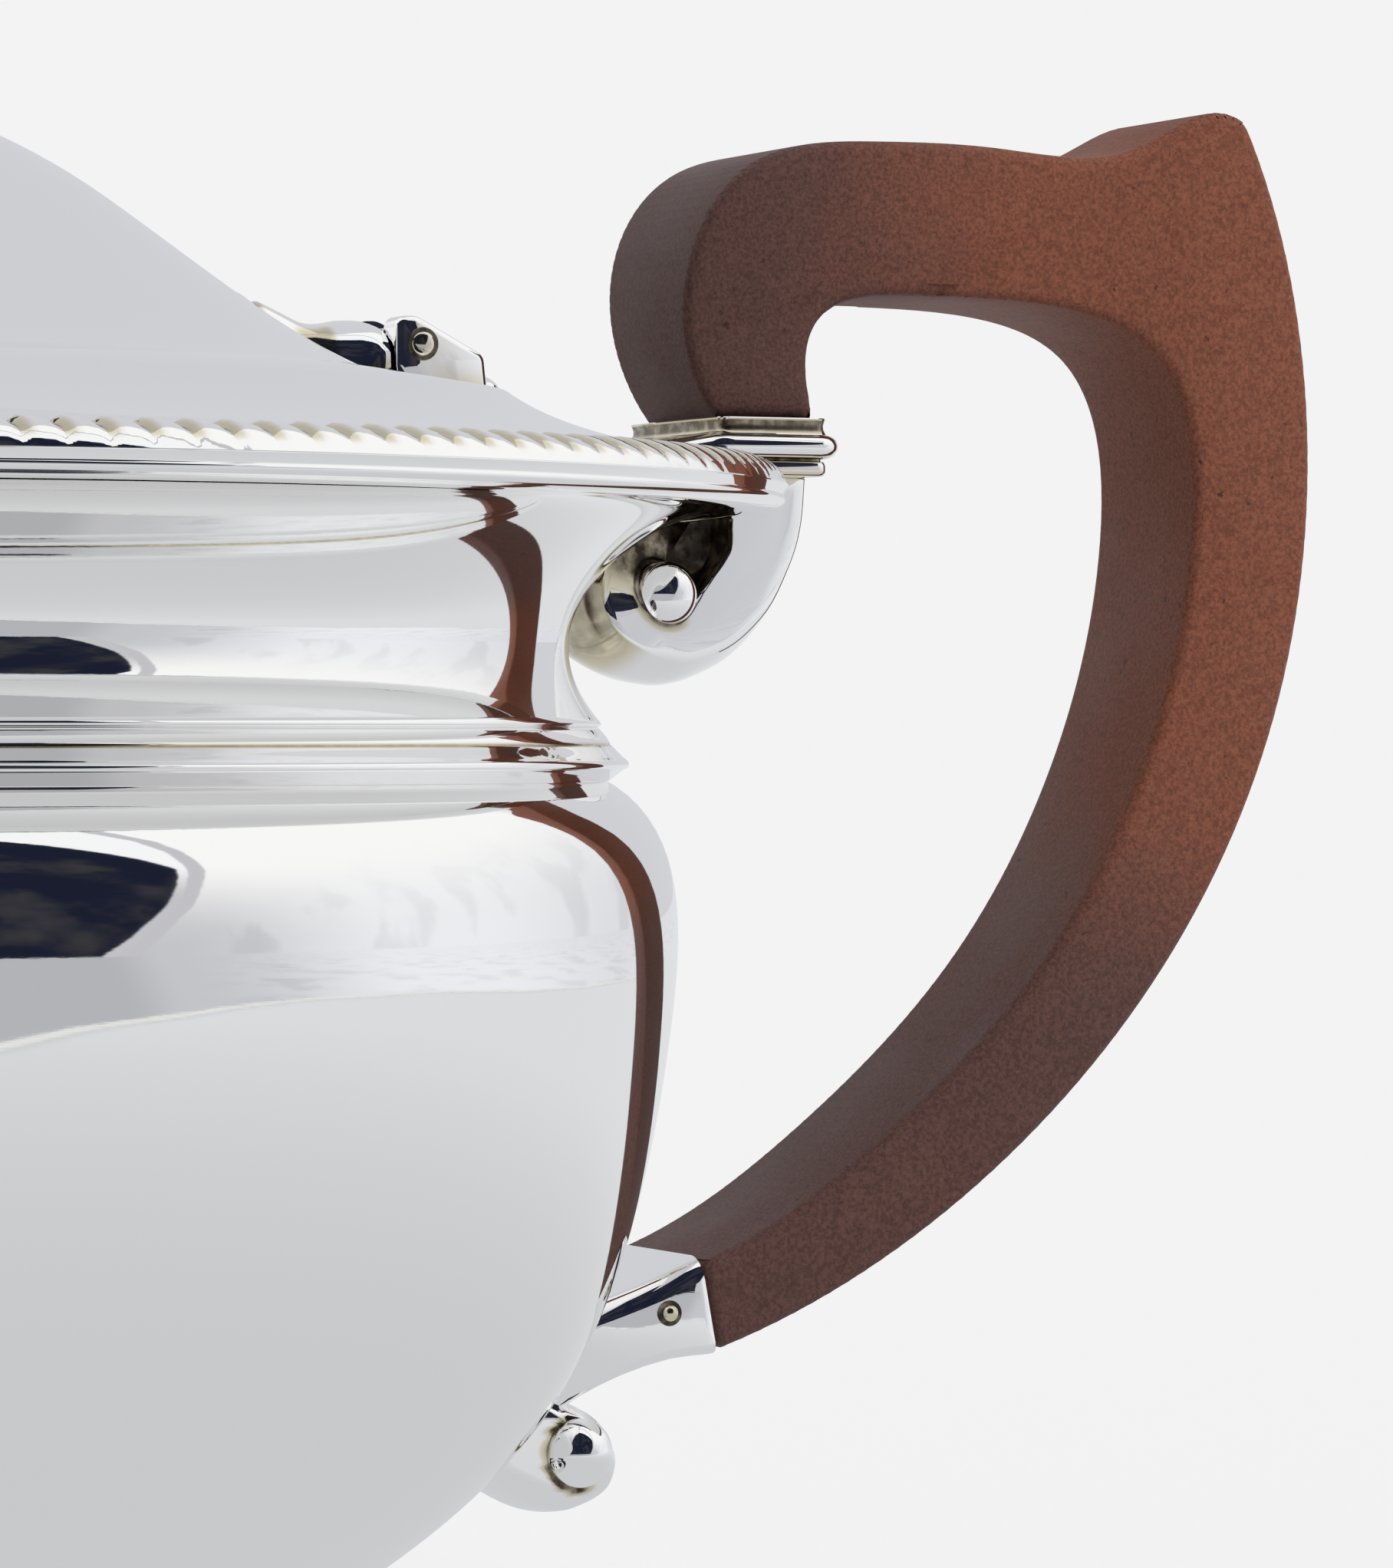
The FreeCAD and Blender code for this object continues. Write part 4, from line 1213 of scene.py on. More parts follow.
@dataclass
class LowerScroll(Scroll):
    """The plump roll under the lower socket, with its tail on the bowl."""

    name: str = "lower_curl"
    eye: Pair = (68.4, 27.2)
    half: float = 6.0
    inside: float = 2.55
    outer: list[Pair] = field(default_factory=lambda: [
        (-9.5, 3.85), (9, 3.4), (36.5, 3.2), (70, 3.46), (84, 3.67), (108, 4.5), (129, 6.2), (149, 7.9),
        (170, 10.0), (184, 9.4), (196.4, 7.6), (207.4, 6.64), (222, 5.9), (243, 5.3), (259.5, 4.93),
        (280, 4.52), (300, 4.43), (316.4, 4.42), (333.4, 4.14), (350.5, 3.85), (369, 3.4),
    ])

    def section(self, angle: float) -> tuple[list[Pair], float]:
        """Set out one ray, flat round the eye and well rounded at the edge.

        Args:
            angle: Angle of the ray in degrees.

        Returns:
            Distance and half width of its points, and the swell of the roll between its edges.
        """
        reach = follow(self.outer, angle)
        edge = min(2.2, reach - self.inside - 0.1)
        line = [(0.0, self.half - 0.1), (1.8, self.half - 0.05), (self.inside, self.half)]
        flat = reach - edge - self.inside - 0.05
        line += [(self.inside + 0.05 + flat * step / 4.0, self.half) for step in (1, 2, 3, 4)]
        for step in range(1, 8):
            turn = math.pi / 2 * step / 7.0
            line.append((reach - edge + edge * math.sin(turn), self.half - 2.2 * (1.0 - math.cos(turn))))
        return line, 0.35

    def tarnish(self, point: Vector) -> float:
        """Dark crescent beside the eye.

        Args:
            point: A point in millimetres.

        Returns:
            How tarnished it is, from 0 to 1.
        """
        angle, radius = self.polar(point)
        near = 1.0 - ease(radius, 3.1, 3.6)
        beside = ease(angle, 85.0, 130.0) * (1.0 - ease(angle, 265.0, 310.0))
        return 0.95 * near * ease(abs(point.y), 4.6, 5.3) * beside


@dataclass
class UpperMount:
    """The stepped plate under the wood and the scroll that carries it."""

    foot: Pair = (80.4, 89.1)
    half: float = 8.9
    tip: float = 74.4
    low: float = 107.2
    high: float = 112.0
    brim: float = 110.7
    eye_size: Triple = (2.65, 5.8, 7.45)
    scroll: UpperScroll = field(default_factory=UpperScroll)
    steps: list[Pair] = field(default_factory=lambda: [
        (-0.05, 107.2), (0.25, 107.3), (0.42, 107.55), (0.42, 108.1), (0.3, 108.38), (0.0, 108.48),
        (0.0, 108.62), (0.6, 108.7), (1.15, 108.95), (1.42, 109.4), (1.45, 109.75), (1.3, 110.2),
        (0.95, 110.5), (0.5, 110.62), (0.42, 110.75), (0.24, 111.05), (0.2, 111.4), (0.32, 111.75),
        (0.42, 111.92), (0.35, 112.0),
    ])

    def plate(self) -> bpy.types.Object:
        """Stack the three mouldings of the plate.

        Returns:
            The plate.
        """
        left, right = self.foot
        square = [(right, -self.half, 0.7), (right, self.half, 0.7)]
        tongue = square + [
            (left - 0.4, self.half, 1.0), (self.tip, 3.4, 1.5), (self.tip, -3.4, 1.5),
            (left - 0.4, -self.half, 1.0),
        ]
        block = square + [
            (left - 0.4, self.half, 0.7), (left - 0.6, 3.4, 0.7), (left - 0.6, -3.4, 0.7),
            (left - 0.4, -self.half, 0.7),
        ]
        rows = []
        for grow, level in [(-0.69, self.low), *self.steps, (-0.69, self.high)]:
            row = []
            for x, y in rounded(block if level > self.brim else tongue, grow, 6):
                fall = 1.0 - 0.42 * ease(left - 0.6 - x, 0.0, 5.5)
                row.append((x, y, self.low + (level - self.low) * (1.0 if level > self.brim else fall)))
            rows.append(row)
        middle = ((left + right) / 2, 0.0)
        for spot, level in ((0, self.low), (len(rows), self.high)):
            rows.insert(spot, [(*middle, level)] * len(rows[0]))
        return Bench.sheet("handle_plate", rows)

    def plate_stain(self, point: Vector) -> float:
        """Dark cove on top and dark recess under the bead.

        Args:
            point: A point in millimetres.

        Returns:
            How tarnished it is, from 0 to 1.
        """
        cove = 0.8 * ease(point.z, 110.55, 110.9) * (1.0 - ease(point.z, 111.75, 112.0))
        recess = 0.9 * (1.0 - ease(abs(point.z - 108.55), 0.06, 0.25))
        return max(cove, recess, 0.35 * (1.0 - ease(point.z, 107.4, 108.0)))

    def build(self, dressing: Dressing) -> None:
        """Build and dress the plate, the scroll and its eye.

        Args:
            dressing: The finishes.
        """
        dressing.keep(Bench.stain(self.plate(), self.plate_stain), Slot.SILVER, Body.POT, "upper_plate")
        curl = Bench.stain(self.scroll.make(), self.scroll.tarnish)
        dressing.keep(curl, Slot.SILVER, Body.POT, "upper_scroll")
        eye = eye_of("upper_eye", self.scroll.eye, *self.eye_size)
        dressing.keep(eye, Slot.SILVER, Body.POT, "upper_scroll_eye")


def eye_of(name: str, hub: Pair, radius: float, shoulder: float, tip: float) -> bpy.types.Object:
    """Turn the domed eye of a scroll, the same on both sides.

    Args:
        name: Name of the piece.
        hub: Place of its axis in millimetres.
        radius: Its radius.
        shoulder: Half width where the dome starts.
        tip: Half width at its tip.

    Returns:
        The finished piece.
    """
    outline = Outline([(0.0, -tip)])
    for step in range(1, 13):
        turn = math.pi / 2 * step / 12
        outline.run((radius * math.sin(turn), -shoulder - (tip - shoulder) * math.cos(turn)))
    outline.run(*[(r, -y) for r, y in reversed(outline.points)])
    return Bench.turned(name, outline, 48, False, hub)


@dataclass
class LowerMount:
    """The ferrule round the foot of the handle, its rivet and the roll under it."""

    rivet: Pair = (75.1, 38.67)
    rivet_radius: float = 0.78
    half: float = 9.1
    eye_size: Triple = (2.95, 5.5, 8.1)
    scroll: LowerScroll = field(default_factory=LowerScroll)
    sections: list[tuple[Pair, Pair, float]] = field(default_factory=lambda: [
        ((78.1, 43.0), (79.5, 35.4), 8.85), ((77.9, 43.2), (79.35, 35.2), 9.05),
        ((77.4, 42.98), (78.7, 35.12), 9.1), ((76.2, 42.45), (77.3, 35.05), 9.1),
        ((74.4, 41.65), (75.4, 34.85), 9.0), ((72.5, 40.85), (73.3, 34.3), 8.65),
        ((70.5, 40.0), (71.4, 33.55), 8.0), ((68.4, 39.1), (69.8, 32.7), 7.2),
        ((66.4, 37.9), (68.6, 31.9), 6.4), ((65.0, 36.0), (67.8, 31.2), 5.7),
        ((64.0, 34.0), (67.3, 30.6), 5.2), ((63.0, 32.0), (67.0, 29.8), 5.0),
    ])

    def ferrule(self) -> bpy.types.Object:
        """Loft the ferrule from the wood to the strap on the bowl.

        Returns:
            The ferrule.
        """
        rows = []
        for (x_top, z_top), (x_low, z_low), half in self.sections:
            tall = math.hypot(x_top - x_low, z_top - z_low)
            corners = [(-half, 0.0, 0.9), (half, 0.0, 0.9), (half, tall, 1.9), (-half, tall, 1.9)]
            rows.append([
                (x_low + (x_top - x_low) * up / tall, y, z_low + (z_top - z_low) * up / tall)
                for y, up in rounded(corners, 0.0, 7)
            ])
        for spot, row in ((0, rows[0]), (len(rows) + 1, rows[-1])):
            middle = [sum(point[axis] for point in row[1:]) / (len(row) - 1) for axis in range(3)]
            rows.insert(spot, [tuple(middle)] * len(row))
        return Bench.sheet("ferrule", rows, 45.0)

    def ferrule_stain(self, point: Vector) -> float:
        """Dark ring round the rivet."""
        away = math.hypot(point.x - self.rivet[0], point.z - self.rivet[1])
        return 0.9 * (1.0 - ease(away, 0.85, 1.25))

    def stud(self) -> bpy.types.Object:
        """Turn the rivet with its hammered heads.

        Returns:
            The rivet.
        """
        wide, out = self.rivet_radius, self.half
        outline = Outline([(0.0, -out - 0.5)]).run((wide * 0.45, -out - 0.44), (wide * 0.8, -out - 0.25))
        outline.run((wide * 0.92, -out - 0.02), (wide * 1.3, -out - 0.03), (wide * 1.36, -out + 0.05))
        outline.run(*[(r, -y) for r, y in reversed(outline.points)])
        return Bench.turned("rivet", outline, 32, False, self.rivet)

    def stud_stain(self, point: Vector) -> float:
        """Gold film on the heads and a dark ring round them."""
        away = math.hypot(point.x - self.rivet[0], point.z - self.rivet[1])
        return 0.4 + 0.55 * ease(away, self.rivet_radius * 0.8, self.rivet_radius * 0.92)

    def build(self, dressing: Dressing) -> None:
        """Build and dress the ferrule, the rivet, the roll and its eye.

        Args:
            dressing: The finishes.
        """
        dressing.keep(Bench.stain(self.ferrule(), self.ferrule_stain), Slot.SILVER, Body.POT, "lower_socket")
        dressing.keep(Bench.stain(self.stud(), self.stud_stain), Slot.SILVER, Body.POT, "lower_rivet")
        roll = Bench.stain(self.scroll.make(), self.scroll.tarnish)
        dressing.keep(roll, Slot.SILVER, Body.POT, "lower_scroll")
        eye = eye_of("lower_eye", self.scroll.eye, *self.eye_size)
        dressing.keep(eye, Slot.SILVER, Body.POT, "lower_scroll_eye")


@dataclass
class Hinge:
    """The lug on the shoulder, the pin and the leaf on the lid."""

    pin: Pair = (54.6, 117.5)
    width: float = 12.0
    tongue: float = 5.6
    heel: Triple = (61.0, 112.4, 0.65)
    tail: Triple = (60.5, 116.75, 0.95)
    bud_at: Pair = (61.9, 113.7)
    bud_size: Triple = (1.5, 3.2, 1.7)
    crest: list[Pair] = field(default_factory=lambda: [
        (36.6, 122.15), (38.4, 122.2), (40.4, 121.65), (41.8, 120.85), (42.2, 120.95), (43.9, 120.2),
        (46.0, 119.3), (47.6, 119.25), (49.4, 119.55), (51.0, 119.5), (52.0, 119.15),
    ])
    spread: list[Pair] = field(default_factory=lambda: [
        (36.6, 0.5), (38.4, 1.7), (40.4, 2.9), (41.8, 2.55), (42.2, 2.7), (43.9, 3.1), (46.0, 3.5),
        (47.6, 4.5), (49.4, 5.2), (51.0, 5.5), (52.0, 5.4),
    ])
    rest: list[Pair] = field(default_factory=lambda: [
        (36.6, 121.6), (40.0, 119.6), (44.0, 117.1), (47.0, 115.7), (49.2, 115.0), (50.2, 115.3),
        (52.0, 115.9),
    ])

    def at(self, across: float, up: float) -> Pair:
        """A point from the pin."""
        return self.pin[0] + across, self.pin[1] + up

    def prism(self, corners: list[Triple], levels: list[Pair]) -> bpy.types.Object:
        """Stack a side outline across the pot and close its two ends.

        Args:
            corners: Place and radius of each corner, counter-clockwise.
            levels: How far the outline is grown, and where across the pot.

        Returns:
            The finished piece.
        """
        rows = [[(x, y, z) for x, z in rounded(corners, grow)] for grow, y in levels]
        hub = [sum(corner[axis] for corner in corners) / len(corners) for axis in (0, 1)]
        for spot, y in ((0, levels[0][1]), (len(rows) + 1, levels[-1][1])):
            rows.insert(spot, [(hub[0], y, hub[1])] * len(rows[0]))
        return Bench.sheet("hinge_block", rows)

    def lug(self) -> bpy.types.Object:
        """Build the lug from two cheeks, with the tail and the floor of the slot between them.

        Returns:
            The lug.
        """
        half, slot = self.width / 2, self.tongue / 2 + 0.3
        heel, tail = self.heel, self.tail
        side = [heel, tail, (54.2, 119.8, 1.8), (52.3, 119.75, 1.0), (52.3, 115.2, 1.7), (54.0, 113.0, 0.65)]
        levels = [
            (-0.6, half), (-0.35, half - 0.07), (-0.13, half - 0.25), (-0.03, half - 0.45),
            (0.0, half - 0.7), (0.0, slot),
        ]
        near = self.prism(side, [(grow, -y) for grow, y in levels])
        far = self.prism(side, levels)
        between = [(0.0, -slot), (0.0, slot)]
        back = self.prism([heel, tail, (57.2, 118.35, 0.01), (57.2, 112.8, 0.01)], between)
        floor = self.prism(
            [(57.2, 112.8, 0.01), (57.2, 114.9, 0.01), (52.5, 114.9, 0.01), (54.0, 113.1, 0.01)], between
        )
        lug = Bench.join(near, far, back, floor)
        for point in lug.data.vertices:
            point.co.y *= 1.0 - 0.012 * (point.co.x / MM - 52.3) - 0.1 * ease(point.co.x / MM, 57.0, 61.5)
        return Bench.join(lug, self.bud())

    def bud(self) -> bpy.types.Object:
        """Shape the small bud at the tail of the lug.

        Returns:
            The bud.
        """
        (out, up), (length, width, height) = self.bud_at, self.bud_size
        rows = []
        for step in range(13):
            turn = math.pi * step / 12
            reach = out - length * math.cos(turn)
            wide, tall = width * math.sin(turn) ** 0.8, height * math.sin(turn) ** 0.7
            around = [2 * math.pi * k / 24 for k in range(25)]
            middle = up - 0.2 * (reach - out)
            rows.append(
                [(reach, wide * math.cos(angle), middle + tall * math.sin(angle)) for angle in around]
            )
        return Bench.sheet("bud", rows, 60.0)

    def lug_stain(self, point: Vector) -> float:
        """Dark ring round the pin, and dirt along the shoulder."""
        away = math.hypot(point.x - self.pin[0], point.z - self.pin[1])
        return max(0.35 * (1.0 - ease(away, 1.3, 2.1)), 0.5 * (1.0 - ease(point.z, 113.0, 114.0)))

    def rod(self) -> bpy.types.Object:
        """Turn the pin with its rounded heads and the rings round them.

        Returns:
            The pin.
        """
        half, out = self.width / 2, self.width / 2 + 0.3
        outline = Outline([(0.0, -out)]).run((0.7, -out + 0.03), (0.92, -out + 0.14), (0.98, -out + 0.26))
        outline.run((1.02, -half + 0.02), (1.3, -half + 0.02), (1.36, -half + 0.12))
        outline.run(*[(r, -y) for r, y in reversed(outline.points)])
        return Bench.turned("pin", outline, 32, False, self.pin)

    def rod_stain(self, point: Vector) -> float:
        """Gold film on the heads of the pin and dirt round them."""
        away = math.hypot(point.x - self.pin[0], point.z - self.pin[1])
        return 0.3 + 0.6 * ease(away, 0.94, 1.02)

    def base(self, x: float) -> float:
        """Height of the lid under the leaf, and of its overhang past the seam."""
        return follow(self.rest, x)

    def leaf(self) -> bpy.types.Object:
        """Loft the leaf on the lid, with the tongue that turns on the pin.

        Returns:
            The leaf.
        """
        rows = []
        for step in range(45):
            x = 36.6 + 15.4 * step / 44
            rows.append(self.arch(x, follow(self.crest, x), self.base(x) - 0.35, follow(self.spread, x)))
        rows.insert(0, [(36.5, 0.0, 121.9)] * len(rows[0]))
        rows.append(self.arch(52.15, 118.7, 116.2, 4.9))
        rows.append([(52.15, 0.0, 117.5)] * len(rows[0]))
        leaf = Bench.sheet("lid_hinge_leaf", rows, 45.0)
        half = self.tongue / 2
        link = Outline([self.at(-3.6, -1.2)]).run(self.at(-0.9, -1.5))
        for step in range(15):
            turn = math.radians(-120.0 + 240.0 * step / 14)
            link.run(self.at(1.75 * math.cos(turn), 1.75 * math.sin(turn)))
        link.run(self.at(-0.9, 1.5), self.at(-3.6, 1.2))
        return Bench.join(leaf, Bench.slab("tongue", link, 2 * half, 0.2, 2))

    def arch(self, x: float, high: float, low: float, half: float) -> list[Triple]:
        """Closed section of the leaf: a full arch over a flat base.

        Args:
            x: Where it stands.
            high: Height of its crest.
            low: Height of its base.
            half: Half its width.

        Returns:
            Points of the section, the first one again at the end.
        """
        row = []
        for step in range(17):
            turn = math.pi * step / 16
            side, up = math.cos(turn), math.sin(turn)
            row.append((x, -half * math.copysign(abs(side) ** 0.85, side), low + (high - low) * up ** 0.72))
        row += [(x, half * (1.0 - step / 2.0), low) for step in (1, 2, 3)]
        return [*row, row[0]]

    def leaf_stain(self, point: Vector) -> float:
        """Dirt where the leaf meets the lid, in its notch and in a patch on its sides.

        Args:
            point: A point in millimetres.

        Returns:
            How tarnished it is, from 0 to 1.
        """
        near = 1.0 - ease(point.z - self.base(point.x), 0.1, 0.8)
        notch = 0.6 * (1.0 - ease(abs(point.x - 41.9), 0.1, 0.5))
        along = ease(point.x, 44.2, 45.6) * (1.0 - ease(point.x, 47.4, 48.2))
        patch = 0.55 * along * ease(abs(point.y), 2.0, 3.0)
        return max(0.6 * near, notch, patch)

    def build(self, dressing: Dressing) -> None:
        """Build and dress the lug, the pin and the leaf.

        Args:
            dressing: The finishes.
        """
        dressing.keep(Bench.stain(self.lug(), self.lug_stain), Slot.SILVER, Body.POT, "hinge_lug")
        dressing.keep(Bench.stain(self.rod(), self.rod_stain), Slot.SILVER, Body.POT, "hinge_pin")
        dressing.keep(Bench.stain(self.leaf(), self.leaf_stain), Slot.SILVER, Body.LID, "lid_leaf")


@dataclass
class Spout:
    """The curved spout, round in section."""

    bowl: Bowl = field(default_factory=Bowl)
    reach: float = 59.15
    low: float = 54.0
    rise: float = 57.4
    wall: float = 1.0
    sections: list[tuple[float, float, float, float]] = field(default_factory=lambda: [
        (-0.245, 0.0, 10.0, 15.0), (0.184, 0.08, 32.0, 11.7), (0.51, 0.35, 55.0, 7.84),
        (0.737, 0.7, 57.0, 6.272), (1.0, 1.0, 42.0, 5.6),
    ])

    def ring(self, at: float, grow: float) -> list[Triple]:
        """Set out one round section of the spout.

        Args:
            at: Place along the spout, counted in sections.
            grow: Distance by which it is grown.

        Returns:
            Points of the section, the first one again at the end.
        """
        out, up, tilt, radius = [
            follow([(float(k), row[column]) for k, row in enumerate(self.sections)], at)
            for column in range(4)
        ]
        x, z, lean = -(self.bowl.radius + self.reach * out), self.low + self.rise * up, math.radians(tilt)
        made = []
        for step in range(65):
            turn = 2 * math.pi * step / 64
            side, high = (radius + grow) * math.cos(turn), (radius + grow) * math.sin(turn)
            made.append((x + high * math.sin(lean), side, z + high * math.cos(lean)))
        return made

    def tube(self) -> bpy.types.Object:
        """Loft the spout and fit its root to the bowl.

        Returns:
            The spout.
        """
        rows = [self.ring(4.0 * step / 72, 0.0) for step in range(73)]
        rows += [self.ring(4.0, -0.3), self.ring(4.0, -0.7)]
        rows += [self.ring(4.0 * (1.0 - step / 48), -self.wall) for step in range(49)]
        rows.append(rows[0])
        spout = Bench.sheet("pouring_spout", rows)
        poles = self.bowl.line(0.05)
        outline = Outline([(0, self.bowl.foot)]).run(poles[0]).curve(poles[1:], 48).run((0, poles[-1][1]))
        return Bench.cut(spout, Bench.turned("core", outline, 256))

    def build(self, dressing: Dressing) -> None:
        """Build and dress the spout."""
        dressing.keep(self.tube(), Slot.SILVER, Body.POT, "spout")


@dataclass
class Studio:
    """Pale floor, white tent and the camera of the picture."""

    forward: Pair = (0.42262, 0.90631)
    eye: Triple = (-0.1611, -0.5207, 0.0861)
    tilt: float = 0.4265
    lens: float = 158.5
    paper: float = 0.895
    fill: float = 0.4
    key: float = 1.9
    glow: float = 0.255
    floor_side: float = 0.62
    floor_front: float = 0.54
    lamp_aim: Triple = (-0.42, 0.62, -0.66)
    lamp_spread: float = 50.0

    def camera(self) -> None:
        """Set up the camera."""
        turn = math.atan2(-self.forward[0], self.forward[1])
        bpy.ops.object.camera_add(
            location=self.eye, rotation=(math.radians(90 - self.tilt), 0.0, turn)
        )
        camera = bpy.context.object
        camera.name = "camera"
        camera.data.lens = self.lens
        camera.data.sensor_width = 36.0
        camera.data.clip_start = 0.01
        camera.data.clip_end = 50.0
        bpy.context.scene.camera = camera

    def sides(
        self, tree: Tree, place: bpy.types.NodeSocket
    ) -> tuple[bpy.types.NodeSocket, bpy.types.NodeSocket]:
        """Measure a place against the axis of the tent.

        Args:
            tree: Node tree.
            place: The place.

        Returns:
            How far it is to the front, and to either side.
        """
        side, ahead = self.forward
        front = tree.add(
            "ShaderNodeVectorMath", {0: place, 1: (-side, -ahead, 0.0)}, operation="DOT_PRODUCT"
        ).outputs["Value"]
        across = tree.add(
            "ShaderNodeVectorMath", {0: place, 1: (ahead, -side, 0.0)}, operation="DOT_PRODUCT"
        ).outputs["Value"]
        return front, tree.math("ABSOLUTE", across)

    def cloth(
        self, tree: Tree, turn: bpy.types.NodeSocket, folds: bpy.types.NodeSocket
    ) -> bpy.types.NodeSocket:
        """Colour the foot of the tent, from its front round to its back.

        Args:
            tree: Node tree.
            turn: Angle from the front.
            folds: How dark the folds are.

        Returns:
            The colour.
        """
        bright = tree.math("SUBTRACT", tree.span(turn, 1.0, 1.62), tree.span(turn, 1.8, 2.45, 0.0, 0.4))
        flap = tree.mix(tree.span(turn, 0.85, 1.0), (0.48, 0.485, 0.51, 1.0), (0.59, 0.595, 0.625, 1.0))
        return tree.mix(tree.math("SUBTRACT", bright, folds), flap, (0.89, 0.9, 0.935, 1.0))

    def walls(self, tree: Tree) -> bpy.types.NodeSocket:
        """Paint the tent: white above, folds below, a round dark opening with a hem, and a grey drop behind.

        Args:
            tree: Node tree of the surroundings.

        Returns:
            The colour seen in each direction.
        """
        look = tree.add("ShaderNodeTexCoord").outputs["Generated"]
        front, across = self.sides(tree, look)
        height = tree.add("ShaderNodeSeparateXYZ", {0: look}).outputs["Z"]
        sway = tree.math("MULTIPLY_ADD", tree.noise(look, 5.0, 3.0), 0.1, -0.05)
        turn = tree.math("ADD", tree.math("ARCTAN2", across, front), sway)
        lift = tree.math("MULTIPLY_ADD", sway, 0.4, tree.math("ARCSINE", height))
        hung = tree.add(
            "ShaderNodeMapping", {"Vector": look, "Scale": (7.0, 7.0, 2.5), "Rotation": (0.0, 0.5, 0.0)}
        )
        folds = tree.span(tree.noise(hung.outputs[0], 1.0, 3.0), 0.5, 0.64, 0.0, 0.3)
        low = self.cloth(tree, turn, folds)
        wall = tree.mix(tree.span(lift, 0.02, 0.62), low, (1.0, 1.0, 1.0, 1.0))
        wall = tree.mix(tree.span(turn, 2.5, 2.62), wall, (0.655, 0.66, 0.695, 1.0))
        near = tree.math("MULTIPLY_ADD", front, 0.8776, tree.math("MULTIPLY", height, 0.4794))
        near = tree.math("MULTIPLY_ADD", sway, 0.3, near)
        hem = tree.mix(tree.span(near, 0.515, 0.521), wall, (0.57, 0.57, 0.605, 1.0))
        lining = tree.mix(tree.span(lift, 0.3, 0.62), (0.58, 0.58, 0.61, 1.0), (0.98, 0.985, 1.0, 1.0))
        inside = tree.mix(tree.span(near, 0.545, 0.551), hem, lining)
        open_to = tree.math("MULTIPLY", tree.span(near, 0.564, 0.57), tree.span(front, 0.345, 0.355))
        room = tree.mix(
            tree.span(tree.noise(look, 6.0, 4.0), 0.45, 0.75), (0.011, 0.014, 0.03, 1.0),
            (0.042, 0.04, 0.046, 1.0)
        )
        return tree.mix(open_to, inside, room)

    def around(self) -> None:
        """Hang the tent round the pot, with plain paper behind it for the picture."""
        world = bpy.data.worlds.new("tent")
        bpy.context.scene.world = world
        tree = Tree(world)
        seen = self.walls(tree)
        path = tree.add("ShaderNodeLightPath").outputs
        soft = tree.add("ShaderNodeBackground", {"Color": (1.0, 1.0, 1.0, 1.0), "Strength": self.fill})
        mirrored = tree.add("ShaderNodeBackground", {"Color": seen, "Strength": 1.0})
        paper = tree.add(
            "ShaderNodeBackground",
            {"Color": (self.paper, self.paper, self.paper * 1.005, 1.0), "Strength": 1.0}
        )
        gloss = tree.math("MAXIMUM", path["Is Glossy Ray"], path["Is Transmission Ray"])
        first = tree.add("ShaderNodeMixShader", {0: gloss, 1: soft.outputs[0], 2: mirrored.outputs[0]})
        last = tree.add(
            "ShaderNodeMixShader", {0: path["Is Camera Ray"], 1: first.outputs[0], 2: paper.outputs[0]}
        )
        tree.add("ShaderNodeOutputWorld", {0: last.outputs[0]})

    def laid(self, tree: Tree) -> bpy.types.NodeSocket:
        """Paint the floor sheet, with painted shade that darkens it near the pot and a painted shadow inside
        its roped edge, and the foot of the tent beyond.

        Args:
            tree: Node tree of the floor.

        Returns:
            The colour.
        """
        place = tree.add("ShaderNodeTexCoord").outputs["Object"]
        front, across = self.sides(tree, place)
        away = tree.add("ShaderNodeVectorMath", {0: place}, operation="LENGTH").outputs["Value"]
        # painted shade: the sheet is darker near the pot, where the pot's shadow would fall
        sheet = tree.mix(tree.span(away, 0.07, 0.42), (0.62, 0.625, 0.645, 1.0), (0.755, 0.765, 0.785, 1.0))
        turn = tree.math("ARCTAN2", across, front)
        folds = tree.span(tree.noise(place, 7.0, 3.0), 0.5, 0.64, 0.0, 0.3)
        wall = self.cloth(tree, turn, folds)
        ahead = tree.math("MAXIMUM", tree.math("ADD", front, 0.25), 0.0)
        edge = tree.math(
            "ADD", tree.math("POWER", tree.math("DIVIDE", across, self.floor_side), 3.0),
            tree.math("POWER", tree.math("DIVIDE", ahead, self.floor_front), 3.0),
        )
        edge = tree.math("ADD", edge, tree.math("MULTIPLY_ADD", tree.noise(place, 6.0, 2.0), 0.16, -0.08))
        shadow = tree.mix(tree.span(edge, 0.8, 0.86, 0.0, 0.6), sheet, (0.58, 0.585, 0.61, 1.0))
        rope = tree.mix(tree.span(edge, 0.86, 0.87), shadow, (0.82, 0.82, 0.8, 1.0))
        return tree.mix(tree.span(edge, 0.92, 0.94), rope, wall)

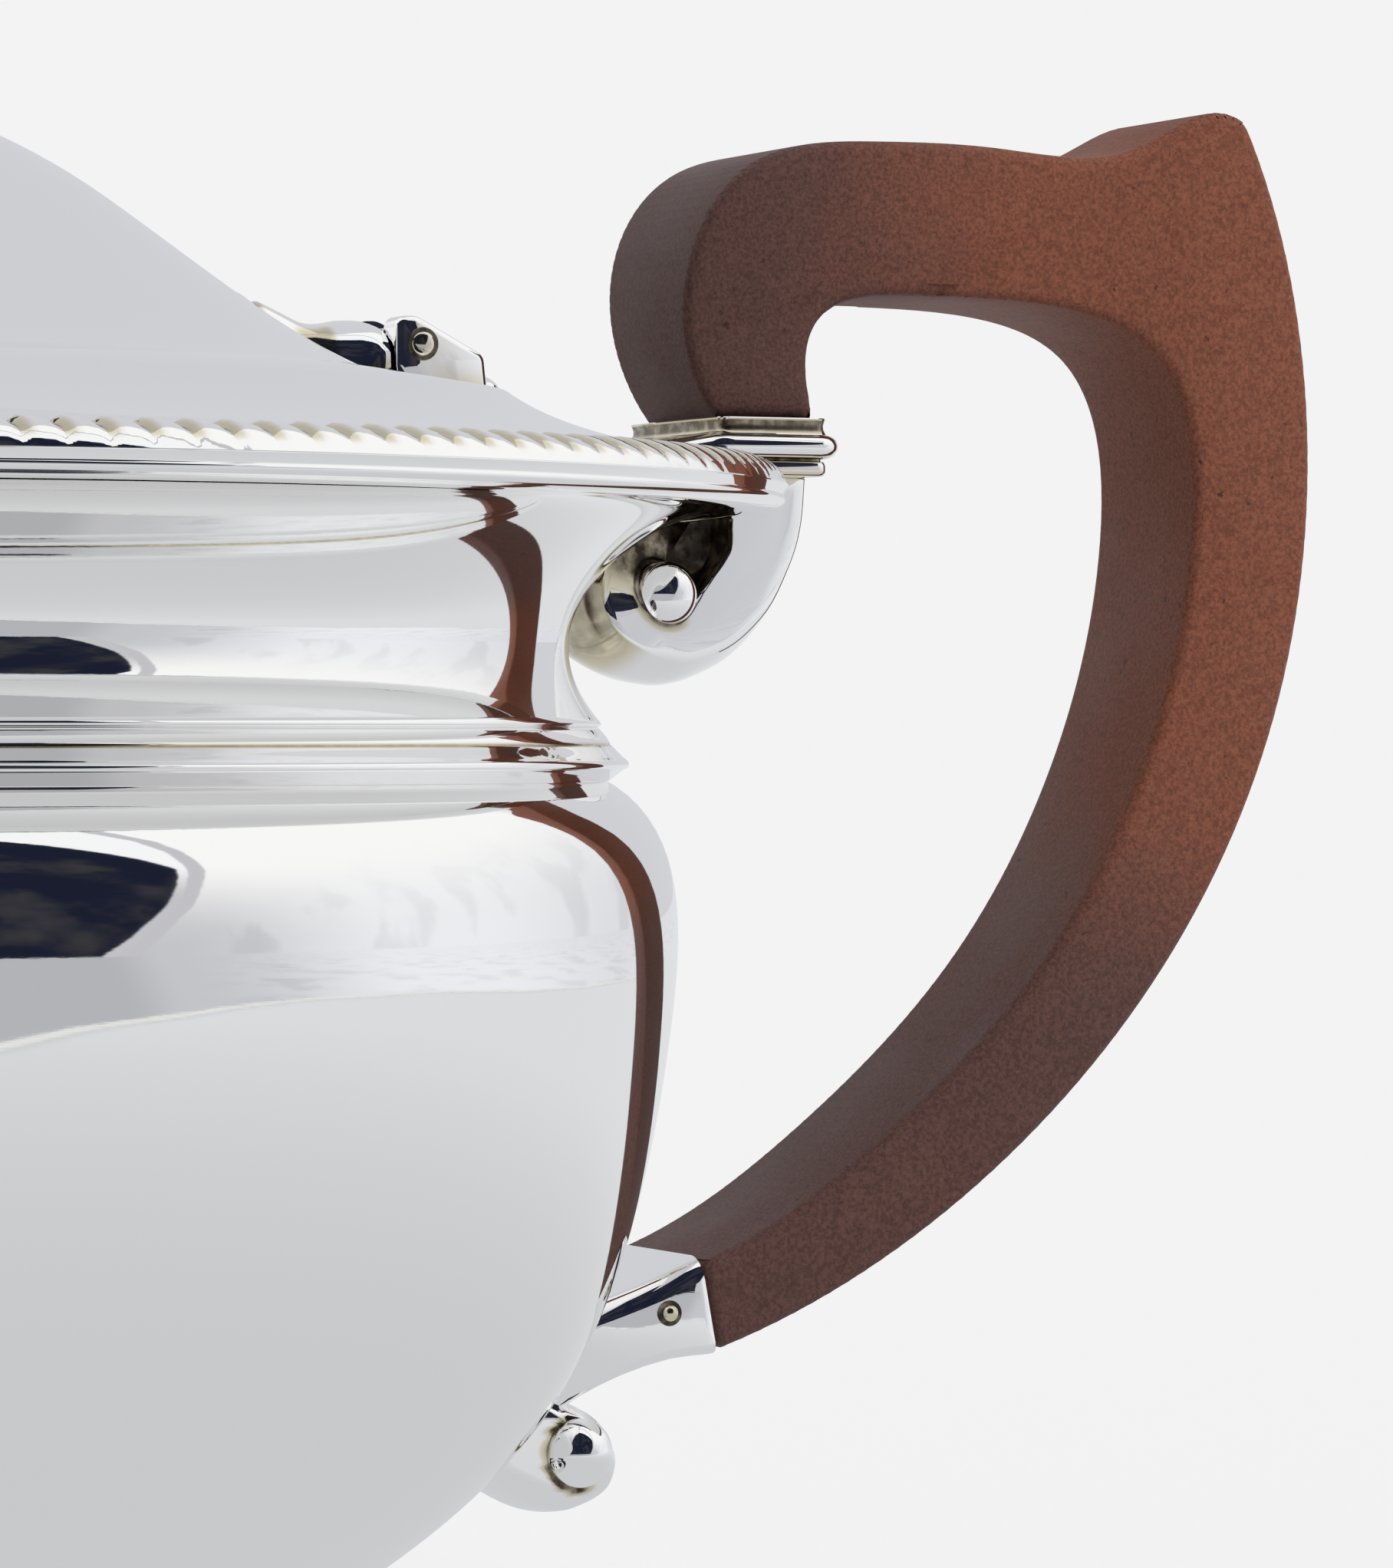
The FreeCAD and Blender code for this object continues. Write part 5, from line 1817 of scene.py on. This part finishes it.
    def ground(self) -> None:
        """Lay the pale floor."""
        Bench.rest()
        bpy.ops.mesh.primitive_plane_add(size=60.0, location=(0, 0, -0.0002))
        floor = Bench.named("floor")
        material = bpy.data.materials.new("pale_floor")
        tree = Tree(material)
        path = tree.add("ShaderNodeLightPath").outputs
        paint = tree.add("ShaderNodeBsdfDiffuse", {"Color": (0.8, 0.8, 0.805, 1.0)})
        glow = tree.add("ShaderNodeEmission", {"Color": (1.0, 1.0, 1.005, 1.0), "Strength": self.glow})
        bright = tree.add("ShaderNodeAddShader", {0: paint.outputs[0], 1: glow.outputs[0]})
        flat = tree.add("ShaderNodeEmission", {"Color": self.laid(tree), "Strength": 1.0})
        gloss = tree.math("MAXIMUM", path["Is Glossy Ray"], path["Is Transmission Ray"])
        first = tree.add("ShaderNodeMixShader", {0: gloss, 1: paint.outputs[0], 2: flat.outputs[0]})
        last = tree.add(
            "ShaderNodeMixShader", {0: path["Is Camera Ray"], 1: first.outputs[0], 2: bright.outputs[0]}
        )
        tree.add("ShaderNodeOutputMaterial", {0: last.outputs[0]})
        floor.data.materials.append(material)

    def lamp(self) -> None:
        """Hang one broad soft lamp at the upper right, which shows in no reflection."""
        Bench.rest()
        bpy.ops.object.light_add(type="SUN", location=(0.6, -0.6, 0.8))
        lamp = bpy.context.object
        lamp.name = "key"
        lamp.rotation_euler = Vector(self.lamp_aim).to_track_quat("-Z", "Y").to_euler()
        lamp.data.angle = math.radians(self.lamp_spread)
        lamp.data.energy = self.key
        lamp.visible_glossy = False

    def build(self) -> None:
        """Set up everything round the pot."""
        self.camera()
        self.around()
        self.ground()
        self.lamp()
        bpy.context.scene.view_settings.view_transform = "Standard"


def main() -> None:
    """Build every sub-assembly, then set up the studio round it."""
    logging.basicConfig(level=logging.INFO, format="%(message)s")
    dressing = Dressing()
    dressing.prepare()
    dressing.dress_nodes()
    for part in (Bowl(), Neck(), Rim(), Lid(), Handle(), UpperMount(), LowerMount(), Hinge(), Spout()):
        part.build(dressing)
    Studio().build()


if __name__ == "__main__":
    main()
